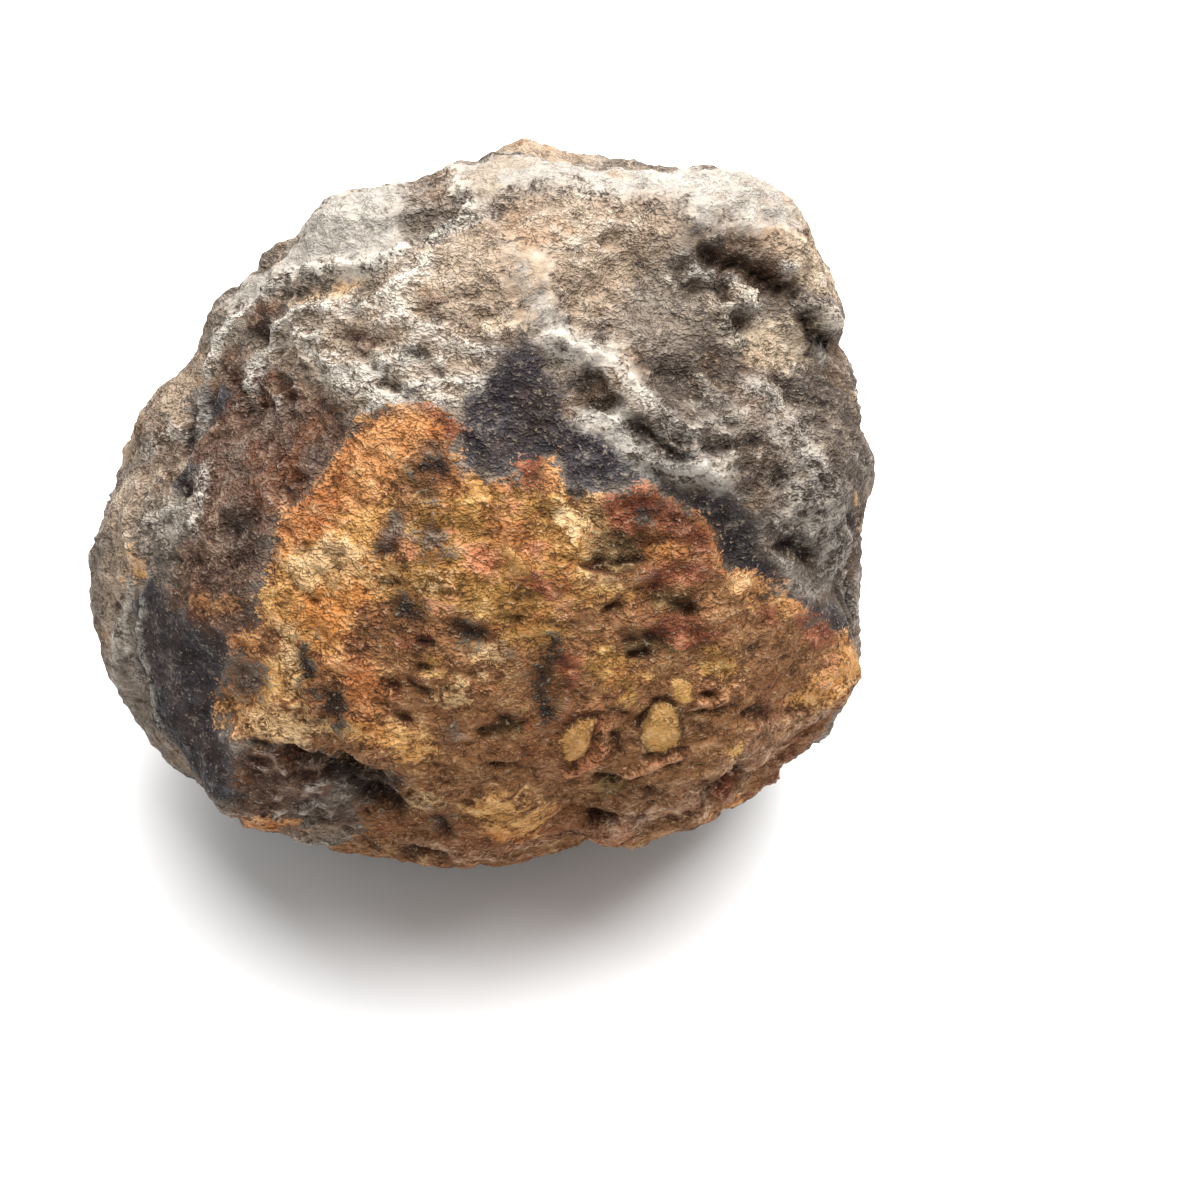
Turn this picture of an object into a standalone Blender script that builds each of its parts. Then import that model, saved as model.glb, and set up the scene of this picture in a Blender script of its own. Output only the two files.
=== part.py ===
"""A whole, uncut geode: one rounded, lobed stone that stands on its own small flat spot.

Frame: +Z up, the origin under the middle of the stone at the level of the flat spot. The broad ochre
face looks towards -Y and the cleft is on the +X side. Lengths are millimetres until the mesh is made,
and a place on the stone is a direction from its heart: longitude in degrees from +X towards +Y, and
latitude in degrees above the horizon.
"""

from collections import namedtuple
from math import cos, degrees, radians, sin

import bmesh
import bpy
import numpy as np
from mathutils import Vector, noise

MM = 0.001

# Driving dimensions
HEART_HEIGHT = 54.0  # the heart, from which every radius is measured, above the flat spot
MEAN_RADIUS = 68.0  # turns an angle on the stone into a length on its surface
FACET_BLEND = 8.0  # the higher, the crisper the edges between the broad faces
GRID = 76  # squares along each side of the cube that is blown up into the stone
TRIANGLES = 9400  # what the finished solid keeps

# Broad faces: name, longitude, latitude, distance from the heart
Face = namedtuple("Face", "name lon lat reach")
FACES = (
    Face("ochre front", -88, 12, 64),
    Face("upper front bench", -74, 52, 52),
    Face("left shoulder", -140, 42, 53),
    Face("summit", 30, 78, 60),
    Face("back slope", 85, 42, 66),
    Face("back", 95, -4, 68),
    Face("right back", 35, 22, 74),
    Face("right", -2, 4, 72),
    Face("right front", -42, 4, 71),
    Face("right keel", -46, -26, 72.5),
    Face("front keel", -92, -29, 74.5),
    Face("left keel", -138, -24, 72),
    Face("left", -162, 6, 68),
    Face("left back", 150, 14, 64),
    Face("right underside", 10, -36, 71),
    Face("back keel", 95, -38, 67),
    Face("left underside", 170, -36, 67),
    Face("under front", -90, -58, 59),
    Face("under right", -15, -57, 65),
    Face("under back", 70, -58, 64),
    Face("under left", 160, -57, 58),
    Face("foot", -135, -80, 60),
)

# The girdle is the great circle seen edge on from the front and above, where the outline is measured
BROADSIDE = (-83.2, 38.8)
GIRDLE_STEP = 15
GIRDLE_RADII = (
    69.5, 69.5, 71.5, 75.5, 70.5, 66.5, 58.0, 56.5,
    57.0, 56.0, 55.0, 61.0, 68.0, 69.0, 69.0, 68.5,
    62.5, 60.5, 61.0, 59.0, 65.5, 72.0, 72.0, 67.0,
)
GIRDLE_HOLD = 38.0  # degrees to either side over which the outline rules the shape


# Lobes: name, longitude, latitude, width to the foot of the dome, height of its crown
Lobe = namedtuple("Lobe", "name lon lat width height")
LOBES = (
    Lobe("cap over the cleft", 12, 43, 25, 4.0),
    Lobe("brow", 86, 66, 22, 2.2),
    Lobe("top left knob", 133, 63, 19, 3.4),
    Lobe("shoulder knob", 160, 53, 15, 3.2),
    Lobe("left high lobe", 174, 37, 15, 3.4),
    Lobe("left middle lobe", 180, 19, 17, 4.2),
    Lobe("left low lobe", -158, 4, 23, 3.4),
    Lobe("left toe", -146, -12, 16, 2.6),
    Lobe("right boss", -6, 12, 9, 3.0),
    Lobe("right nose", -25, -8, 19, 3.2),
    Lobe("lower left belly", -113, -4, 17, 2.8),
    Lobe("lower belly", -90, -12, 20, 1.6),
    Lobe("lower right belly", -60, -7, 20, 2.2),
    Lobe("ochre belly", -84, 22, 34, 2.4),
    Lobe("right front swell", -34, 16, 22, 2.0),
    Lobe("crust shoulder", -33, 36, 14, 2.2),
    Lobe("left cheek", -134, 26, 26, 2.2),
    Lobe("back crown", 98, 38, 26, 4.0),
    Lobe("back right lobe", 52, 22, 24, 4.2),
    Lobe("back middle lobe", 88, 8, 26, 4.4),
    Lobe("back left lobe", 128, 22, 24, 4.4),
    Lobe("back low right lobe", 62, -12, 22, 3.8),
    Lobe("back low left lobe", 120, -12, 26, 4.2),
    Lobe("left back lobe", 156, 6, 20, 3.8),
    Lobe("right back lobe", 20, 4, 22, 3.6),
    Lobe("right low lobe", 4, -18, 20, 3.0),
    Lobe("left low back lobe", 176, -18, 22, 3.2),
)
LOBE_BLEND = 5.0  # the higher, the sharper the creases between lobes

# Hollows: name, longitude, latitude, width, depth
Hollow = namedtuple("Hollow", "name lon lat width depth")
HOLLOWS = (
    Hollow("bench hollow", -20, 58, 15, 2.6),
    Hollow("crust basin", -30, 44, 9, 3.0),
    Hollow("crust pit", -21, 34, 4, 1.6),
    Hollow("saddle behind the ridge", 140, 80, 9, 3.0),
    Hollow("black hollow", -69, 51, 11, 1.4),
    Hollow("front left pit", -104, 0, 6, 3.4),
    Hollow("front left lower pit", -100, -7, 6, 2.6),
    Hollow("front notch", -72, -11, 5, 3.0),
    Hollow("keel hollow", -53, -19, 8, 2.6),
    Hollow("ochre upper dimple", -97, 26, 6, 1.4),
    Hollow("ochre middle dimple", -76, 14, 6, 1.8),
    Hollow("ochre right dimple", -57, 14, 6, 1.6),
    Hollow("back saddle", 76, 24, 9, 2.4),
    Hollow("back pit", 106, 6, 6, 3.0),
    Hollow("left back pit", 140, 0, 7, 2.4),
    Hollow("right back saddle", 34, 14, 8, 2.4),
)

# Ledges: name, the higher bank's rise, the lower bank's drop, edge width, reach, and a path with the
# higher bank on its left as it is walked, seen from outside
Ledge = namedtuple("Ledge", "name rise drop edge reach path")
LEDGES = (
    Ledge("left ridge", 2.2, 3.0, 1.8, 12, (
        (-20, 86), (-110, 86), (-165, 80), (178, 70), (176, 60), (176, 50), (-178, 42), (-167, 37),
        (-158, 32), (-152, 25), (-148, 16), (-147, 9), (-145, 2), (-139, -4), (-139, -13),
    )),
    Ledge("lower right edge", 1.6, 3.4, 1.6, 10, (
        (-73, -24), (-69, -18), (-63, -17), (-57, -15), (-51, -14), (-44, -10), (-36, -9), (-28, -10),
    )),
    Ledge("front left shelf", 1.4, 2.6, 1.4, 8, (
        (-121, 0), (-110, 5), (-105, 5), (-97, 1), (-91, -6),
    )),
    Ledge("crust ridge", 1.0, 1.8, 1.4, 7, (
        (-50, 67), (-45, 57), (-45, 48), (-46, 40), (-42, 30),
    )),
    Ledge("cleft", 1.8, 3.2, 1.5, 8, (
        (10, 67), (2, 60), (-2, 53), (-3, 47), (-4, 41), (-5, 36), (-4, 33), (4, 28),
    )),
    Ledge("back ledge", 1.8, 2.8, 1.6, 10, (
        (60, 30), (70, 32), (84, 26), (98, 28), (112, 20), (122, 10),
    )),
)
LEDGE_TAPER = 0.12  # share of a path over which its ledge runs out at either end

# Crumbs of the same stone that are stuck fast in the cleft: longitude, latitude, width, height
CRUMBS = (
    Lobe("cleft crumb", -9, 47, 3.6, 2.2),
    Lobe("cleft block", -4, 37, 3.8, 2.2),
)

# Roughness of the weathered skin: wavelength and height in millimetres
ROUGHNESS = ((26.0, 2.2), (12.0, 1.4), (6.5, 0.6))


def unit(lon, lat):
    """Returns the unit vector of a direction given in degrees."""
    lon, lat = radians(lon), radians(lat)
    return np.array((cos(lat) * cos(lon), cos(lat) * sin(lon), sin(lat)))


def sphere_grid():
    """Returns the directions and the squares of a cube grid blown up to a sphere."""
    ball = bmesh.new()
    bmesh.ops.create_cube(ball, size=2.0)
    bmesh.ops.subdivide_edges(ball, edges=ball.edges[:], cuts=GRID - 1, use_grid_fill=True)
    cube = np.array([v.co[:] for v in ball.verts])
    squares = [[v.index for v in f.verts] for f in ball.faces]
    ball.free()
    even = np.tan(cube * (np.pi / 4))
    return even / np.linalg.norm(even, axis=1)[:, None], squares


def broad_form(dirs):
    """Returns the radius of the broad faces, blended where they meet."""
    total = np.zeros(len(dirs))
    for face in FACES:
        facing = np.clip(dirs @ unit(face.lon, face.lat), 0, None) / face.reach
        total += facing**FACET_BLEND
    return total ** (-1 / FACET_BLEND)


def girdle_frame():
    """Returns the broadside direction, and the right and up directions of the girdle's plane."""
    out = unit(*BROADSIDE)
    right = np.cross((0, 0, 1), out)
    right /= np.linalg.norm(right)
    return out, right, np.cross(out, right)


def girdle_radius(theta):
    """Returns the outline's radius at an angle round the girdle, on a smooth closed curve."""
    radii = np.array(GIRDLE_RADII)
    place = (degrees(1) * theta / GIRDLE_STEP) % len(radii)
    at = place.astype(int)
    t = place - at
    a, b, c, d = (radii[(at + k) % len(radii)] for k in (-1, 0, 1, 2))
    return b + 0.5 * t * (c - a + t * (2 * a - 5 * b + 4 * c - d + t * (3 * (b - c) + d - a)))


def with_girdle(dirs, radius):
    """Draws the broad form to the measured outline near the girdle."""
    out, right, up = girdle_frame()
    theta = np.arctan2(dirs @ up, dirs @ right)
    rim = np.cos(theta)[:, None] * right + np.sin(theta)[:, None] * up
    wanted = girdle_radius(theta) / broad_form(rim)
    off = np.arcsin(np.clip(dirs @ out, -1, 1)) / radians(GIRDLE_HOLD)
    return radius * (1 + np.exp(-(off**2)) * (wanted - 1))


def arc_from(dirs, lon, lat):
    """Returns the distance over the surface from a place on the stone, in millimetres."""
    return MEAN_RADIUS * np.arccos(np.clip(dirs @ unit(lon, lat), -1, 1))


def lobes(dirs):
    """Returns the height of the rounded lobes, with a crease where two of them meet."""
    total = np.zeros(len(dirs))
    for lobe in LOBES:
        share = np.clip(1 - (arc_from(dirs, lobe.lon, lobe.lat) / lobe.width) ** 2, 0, None)
        total += (lobe.height * share) ** LOBE_BLEND
    return total ** (1 / LOBE_BLEND)


def hollows(dirs):
    """Returns the depth of the smooth hollows and pits."""
    return sum(h.depth * np.exp(-((arc_from(dirs, h.lon, h.lat) / h.width) ** 2)) for h in HOLLOWS)


def crumbs(dirs):
    """Returns the height of the steep little crumbs in the cleft."""
    return sum(
        c.height * np.clip(1.6 - 1.6 * (arc_from(dirs, c.lon, c.lat) / c.width) ** 2, 0, 1) for c in CRUMBS
    )


def beside_path(dirs, path):
    """Returns the distance to a path, the side distance (positive on its left) and the place along it."""
    corners = MEAN_RADIUS * np.array([unit(lon, lat) for lon, lat in path])
    points = MEAN_RADIUS * dirs
    nearest = np.full(len(dirs), np.inf)
    side, along = np.zeros(len(dirs)), np.zeros(len(dirs))
    for k, (a, b) in enumerate(zip(corners, corners[1:])):
        run = b - a
        t = np.clip((points - a) @ run / (run @ run), 0, 1)
        away = points - (a + t[:, None] * run)
        distance = np.linalg.norm(away, axis=1)
        left = np.cross(a + b, run)
        closer = distance < nearest
        nearest[closer] = distance[closer]
        side[closer] = (away @ (left / np.linalg.norm(left)))[closer]
        along[closer] = ((k + t) / (len(corners) - 1))[closer]
    return nearest, side, along


def ledges(dirs):
    """Returns the height of the ledges: a raised bank, a steep edge and a sunken bank."""
    total = np.zeros(len(dirs))
    for ledge in LEDGES:
        distance, side, along = beside_path(dirs, ledge.path)
        bank = np.tanh(side / ledge.edge)
        bank = np.where(bank > 0, ledge.rise, ledge.drop) * bank
        run_out = np.clip(np.minimum(along, 1 - along) / LEDGE_TAPER, 0, 1)
        total += bank * run_out * np.exp(-((distance / ledge.reach) ** 2))
    return total


def weathering(points):
    """Returns the height of the natural roughness at points given in millimetres."""
    return np.array([
        sum(height * noise.noise(Vector(p) / wave) for wave, height in ROUGHNESS) for p in points
    ])


def stone_surface(dirs):
    """Returns the points of the stone's surface in millimetres, from its heart."""
    radius = with_girdle(dirs, broad_form(dirs))
    radius += lobes(dirs) - hollows(dirs) + ledges(dirs) + crumbs(dirs)
    radius += weathering(dirs * radius[:, None])
    down = np.clip(-dirs[:, 2], 1e-6, None)
    return dirs * np.minimum(radius, HEART_HEIGHT / down)[:, None]


def stone_mesh(name):
    """Builds the stone's mesh with its origin under the middle of its box."""
    dirs, squares = sphere_grid()
    points = stone_surface(dirs)
    middle = (points.min(0) + points.max(0)) / 2
    points -= (middle[0], middle[1], -HEART_HEIGHT)
    mesh = bpy.data.meshes.new(name)
    mesh.from_pydata((points * MM).tolist(), [], squares)
    return mesh


def crust():
    """Returns the brown and ochre crust's material."""
    material = bpy.data.materials.new("crust")
    material.use_nodes = True
    shader = material.node_tree.nodes["Principled BSDF"]
    shader.inputs["Base Color"].default_value = (0.24, 0.14, 0.075, 1)
    shader.inputs["Roughness"].default_value = 0.72
    shader.inputs["Metallic"].default_value = 0.0
    return material


def build_geode():
    """Builds the one solid of the stone."""
    mesh = stone_mesh("geode")
    stone = bpy.data.objects.new("geode", mesh)
    bpy.context.scene.collection.objects.link(stone)
    mesh.materials.append(crust())
    mesh.shade_smooth()
    fewer = stone.modifiers.new("fewer triangles", "DECIMATE")
    fewer.use_collapse_triangulate = True
    fewer.ratio = TRIANGLES / (12 * GRID**2)
    return stone


for old in list(bpy.data.objects):
    bpy.data.objects.remove(old)
build_geode()
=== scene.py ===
"""The dressed model of a whole, uncut geode on a pale floor.

The stone is rebuilt from its solid as one fine mesh. Rays from the heart find the solid's surface, and the
weathered relief (knobs, crests, cracks, pits, crumbs and pebbles) is worked into it. Outlines place the
minerals: each point of the mesh carries its distance to a patch's edge, and the material reads it.

A place on the near side is a pixel of a 1200 by 1200 picture, where a ray from the viewpoint meets the
stone. A place on the far side is a direction from the heart. Lengths are millimetres until a mesh is made.
"""

import logging
import math
from dataclasses import dataclass
from enum import Enum

import bmesh
import bpy
import numpy as np
from mathutils import Matrix, Vector, noise
from mathutils.bvhtree import BVHTree


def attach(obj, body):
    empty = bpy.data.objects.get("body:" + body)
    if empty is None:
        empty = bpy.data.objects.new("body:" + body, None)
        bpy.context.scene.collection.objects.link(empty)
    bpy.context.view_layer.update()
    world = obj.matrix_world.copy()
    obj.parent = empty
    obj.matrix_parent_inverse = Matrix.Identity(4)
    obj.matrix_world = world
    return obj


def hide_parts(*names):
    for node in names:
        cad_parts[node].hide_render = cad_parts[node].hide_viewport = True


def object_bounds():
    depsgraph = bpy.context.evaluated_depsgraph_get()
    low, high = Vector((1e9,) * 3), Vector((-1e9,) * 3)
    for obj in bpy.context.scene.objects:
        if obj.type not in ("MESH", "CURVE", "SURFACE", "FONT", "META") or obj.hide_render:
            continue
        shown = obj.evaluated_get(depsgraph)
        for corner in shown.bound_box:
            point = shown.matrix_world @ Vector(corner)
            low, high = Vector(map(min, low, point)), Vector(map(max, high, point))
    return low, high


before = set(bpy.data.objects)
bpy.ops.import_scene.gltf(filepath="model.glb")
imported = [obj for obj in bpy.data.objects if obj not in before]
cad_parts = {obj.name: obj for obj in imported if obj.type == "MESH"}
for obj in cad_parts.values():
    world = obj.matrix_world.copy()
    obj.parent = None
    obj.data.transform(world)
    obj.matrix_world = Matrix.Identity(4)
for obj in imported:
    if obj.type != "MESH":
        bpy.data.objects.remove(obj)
CAD_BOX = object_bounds()

MM = 0.001
HEART_MM = (-0.8, -3.4, 54.0)  # the point inside that the stone's radii are measured from
LOG = logging.getLogger("geode")
Array = np.ndarray
Triple = tuple[float, float, float]
Screen = tuple[int, int, int]  # a colour by its 0 to 255 screen values
Colour = tuple[float, float, float, float]
Object = bpy.types.Object
Node = bpy.types.Node
Tree = bpy.types.NodeTree
Socket = bpy.types.NodeSocket


def linear(screen: Screen) -> Colour:
    """Turns a colour named by its screen values into a linear colour.

    Args:
        screen: The red, green and blue from 0 to 255.

    Returns:
        The linear red, green and blue, and an alpha of 1.
    """
    parts = (value / 255 for value in screen)
    levels = (part / 12.92 if part <= 0.04045 else ((part + 0.055) / 1.055) ** 2.4 for part in parts)
    return (*levels, 1.0)


def smooth_step(value: Array, low: float, high: float) -> Array:
    """Rises smoothly from 0 to 1 as the value goes from low to high."""
    share = np.clip((value - low) / (high - low), 0, 1)
    return share * share * (3 - 2 * share)


def add_object(name: str, data: bpy.types.ID) -> Object:
    """Makes an object of some data and puts it in the scene.

    Args:
        name: Its name.
        data: Its mesh, light or camera.

    Returns:
        The object.
    """
    made = bpy.data.objects.new(name, data)
    bpy.context.scene.collection.objects.link(made)
    return made


@dataclass(frozen=True)
class Place:
    """A place on the stone's far side, as a direction from the heart.

    Attributes:
        lon: Degrees from +X towards +Y.
        lat: Degrees above the horizon.
    """

    lon: float
    lat: float

    def direction(self) -> Array:
        """Returns the unit vector of the direction."""
        lon, lat = math.radians(self.lon), math.radians(self.lat)
        return np.array((math.cos(lat) * math.cos(lon), math.cos(lat) * math.sin(lon), math.sin(lat)))


Spot = tuple[float, float] | Place


@dataclass(frozen=True)
class Viewpoint:
    """Where the stone is looked at from.

    Attributes:
        sensor_mm: The width of the camera's sensor.
        near_m: How near to the eye the camera begins to see.
        side_px: The picture's width and height.
        focal_px: The distance from the eye to the picture, in its pixels.
        depression_deg: How far the line of sight looks down.
        eye_mm: The eye's place.
    """

    sensor_mm: float = 36.0
    near_m: float = 0.01
    side_px: float = 1200.0
    focal_px: float = 1287.0
    depression_deg: float = 43.0
    eye_mm: Triple = (21.6, -190.7, 205.7)

    def axes(self) -> tuple[Array, Array, Array]:
        """Returns the picture's right and up directions and the line of sight."""
        tilt = math.radians(self.depression_deg)
        right = np.array((1.0, 0.0, 0.0))
        up = np.array((0.0, math.sin(tilt), math.cos(tilt)))
        ahead = np.array((0.0, math.cos(tilt), -math.sin(tilt)))
        return right, up, ahead

    def ray(self, pixel: tuple[float, float]) -> Array:
        """Returns the direction from the eye through a pixel.

        Args:
            pixel: Its place across and down the picture.

        Returns:
            The unit vector of the ray.
        """
        right, up, ahead = self.axes()
        middle = self.side_px / 2
        across = (pixel[0] - middle) / self.focal_px
        above = (middle - pixel[1]) / self.focal_px
        ray = ahead + across * right + above * up
        return ray / np.linalg.norm(ray)

    def build_camera(self) -> Object:
        """Makes the camera and gives it to the scene.

        Returns:
            The camera object.
        """
        data = bpy.data.cameras.new("camera")
        data.sensor_width = self.sensor_mm
        data.lens = self.sensor_mm * self.focal_px / self.side_px
        data.clip_start = self.near_m
        camera = add_object("camera", data)
        right, up, ahead = self.axes()
        turn = Matrix((right, up, -ahead)).transposed().to_4x4()
        camera.matrix_world = Matrix.Translation(Vector(self.eye_mm) * MM) @ turn
        bpy.context.scene.camera = camera
        return camera


class SolidForm:
    """The solid's surface with its facets rounded off, found by rays."""

    MISSED_MM = 60.0  # the radius taken where a ray slips between two facets
    ROUNDING_LEVELS = 2

    def __init__(self, solid: Object, heart_mm: Triple, view: Viewpoint) -> None:
        """Rounds a copy of the solid and gets it ready for rays.

        Args:
            solid: The stone's node.
            heart_mm: The point inside that the stone's radii are measured from.
            view: Where pixels are looked at from.
        """
        self.heart = np.array(heart_mm)
        self.view = view
        self.tree = self._rounded_tree(solid)

    def _rounded_tree(self, solid: Object) -> BVHTree:
        """Builds the ray tree of the rounded solid, in millimetres."""
        shell = bmesh.new()
        shell.from_mesh(solid.data)
        bmesh.ops.remove_doubles(shell, verts=shell.verts, dist=1e-6)
        mesh = bpy.data.meshes.new("rounded solid")
        shell.to_mesh(mesh)
        shell.free()
        mesh.transform(solid.matrix_world)
        mesh.transform(Matrix.Scale(1 / MM, 4))
        rounded = add_object("rounded solid", mesh)
        rounding = rounded.modifiers.new("rounding", "SUBSURF")
        rounding.levels = self.ROUNDING_LEVELS
        graph = bpy.context.evaluated_depsgraph_get()
        tree = BVHTree.FromObject(rounded, graph)
        bpy.data.objects.remove(rounded)
        bpy.data.meshes.remove(mesh)
        return tree

    def radii(self, directions: Array) -> Array:
        """Measures the surface's distance from the heart.

        Args:
            directions: Unit vectors, one a row.

        Returns:
            The distance along each.
        """
        heart = Vector(self.heart)
        hits = (self.tree.ray_cast(heart, Vector(direction)) for direction in directions)
        return np.array([hit[3] if hit[3] is not None else self.MISSED_MM for hit in hits])

    def point(self, spot: Spot) -> Array:
        """Finds a spot on the surface.

        Args:
            spot: A pixel, or a place on the far side.

        Returns:
            The point in millimetres. A pixel beside the stone gives the nearest point to its ray.
        """
        if isinstance(spot, Place):
            direction = spot.direction()
            return self.heart + direction * self.radii(direction[None, :])[0]
        eye, ray = np.array(self.view.eye_mm), self.view.ray(spot)
        hit = self.tree.ray_cast(Vector(eye), Vector(ray))[0]
        if hit is None:
            beside = eye + ray * float((self.heart - eye) @ ray)
            hit = self.tree.find_nearest(Vector(beside))[0]
        return np.array(hit)


class Profile(Enum):
    """The cross-section of a mark."""

    ROUND = "round"  # a smooth hill or hollow
    SHARP = "sharp"  # a crest or a crack
    TABLE = "table"  # a level top with steep sides


@dataclass(frozen=True)
class Mark:
    """A small form raised from the surface, or sunk in it, along a path.

    Attributes:
        path: Its spots. One spot makes a round mark.
        height: How far it stands up. It is negative for a sunken mark.
        width: How far from the path it reaches.
        profile: Its cross-section.
        bloom: How pale its lip is, from 0 to 1: pale dust, with a painted sheen where it is a crest.
        shade: How dark it is painted, from 0 to 1: painted shade in cracks, pits and hollows, and dark dirt
            on a few soot spots.
    """

    ROUND_FALL = 1.6
    SHARP_FALL = 1.8
    TABLE_EDGE = (0.75, 1.25)  # where the level top ends and the ground begins, in widths

    path: tuple[Spot, ...]
    height: float
    width: float
    profile: Profile = Profile.ROUND
    bloom: float = 0.0
    shade: float = 0.0

    def share(self, distance: Array) -> Array:
        """Returns how much of the height is reached at each distance from the path."""
        reach = distance / self.width
        if self.profile is Profile.ROUND:
            return np.exp(-self.ROUND_FALL * reach**2)
        if self.profile is Profile.SHARP:
            return np.exp(-self.SHARP_FALL * reach)
        return 1 - smooth_step(reach, *self.TABLE_EDGE)


class Mineral(Enum):
    """The minerals that are painted over the crust, in the order they are laid."""

    # Pale crust, partly a painted sheen and painted light where the top faces the light.
    PALE_AND_SHEEN = "bleached"
    BUFF = "buff"
    BROWN = "brown"
    UMBER = "umber"
    SAND = "sand"
    CHARCOAL = "charcoal"
    OCHRE = "ochre"
    HONEY = "honey"
    ORANGE = "orange"
    YELLOW = "yellow"
    TAN = "tan"
    OLIVE = "olive"
    RUST = "rust"
    LILAC = "lilac"
    FLESH = "flesh"
    CREAM = "cream"
    SLATE = "slate"
    SOOT = "soot"


@dataclass(frozen=True)
class Patch:
    """An area of one mineral.

    Attributes:
        mineral: What it is.
        outline: The spots round its edge, or for a band the spots along its middle.
        half_width: For a band, how far it reaches from its middle. It is 0 for a closed outline.
    """

    mineral: Mineral
    outline: tuple[Spot, ...]
    half_width: float = 0.0


def distance_to_path(points: Array, corners: Array) -> Array:
    """Measures the distance from points to a path.

    Args:
        points: The points, one a row.
        corners: The path's corners, one a row. One corner makes it a point.

    Returns:
        The distance of each point.
    """
    if len(corners) == 1:
        return np.linalg.norm(points - corners[0], axis=1)
    nearest = np.full(len(points), np.inf)
    for start, end in zip(corners, corners[1:]):
        run = end - start
        along = np.clip((points - start) @ run / (run @ run), 0, 1)
        away = np.linalg.norm(points - start - along[:, None] * run, axis=1)
        nearest = np.minimum(nearest, away)
    return nearest


class LocalMap:
    """A flat map of the stone round the middle of an outline, in millimetres."""

    FAR = -40.0  # the distance given to points off the map

    def __init__(self, corners: Array) -> None:
        """Lays the map.

        Args:
            corners: The outline's corners, from the heart, one a row.
        """
        middle = corners.mean(axis=0)
        self.scale = np.linalg.norm(corners, axis=1).mean()
        self.out = middle / np.linalg.norm(middle)
        side = np.cross(self.out, (0.0, 0.0, 1.0) if abs(self.out[2]) < 0.9 else (1.0, 0.0, 0.0))
        self.side = side / np.linalg.norm(side)
        self.up = np.cross(self.out, self.side)
        self.corners = self.flat(corners)

    def flat(self, points: Array) -> Array:
        """Returns the map places of points given from the heart."""
        units = points / np.linalg.norm(points, axis=1)[:, None]
        angle = np.arccos(np.clip(units @ self.out, -1, 1))
        places = np.stack((units @ self.side, units @ self.up), axis=1)
        length = np.maximum(np.linalg.norm(places, axis=1), 1e-9)
        return places * (self.scale * angle / length)[:, None]

    def inside(self, points: Array) -> Array:
        """Measures how far inside the outline points are.

        Args:
            points: The points, from the heart, one a row.

        Returns:
            The distance to the outline, negative outside it.
        """
        places = self.flat(points)
        reach = np.linalg.norm(self.corners, axis=1).max() - self.FAR
        near = np.linalg.norm(places, axis=1) < reach
        result = np.full(len(points), self.FAR)
        some = places[near]
        within = np.zeros(len(some), dtype=bool)
        for (ax, ay), (bx, by) in zip(self.corners, np.roll(self.corners, -1, axis=0)):
            spans = (ay > some[:, 1]) != (by > some[:, 1])
            crossing = ax + (some[:, 1] - ay) * (bx - ax) / (by - ay if by != ay else 1e-9)
            within ^= spans & (some[:, 0] < crossing)
        closed = np.vstack((self.corners, self.corners[:1]))
        distance = distance_to_path(some, closed)
        result[near] = np.where(within, distance, -distance)
        return np.maximum(result, self.FAR)


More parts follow.
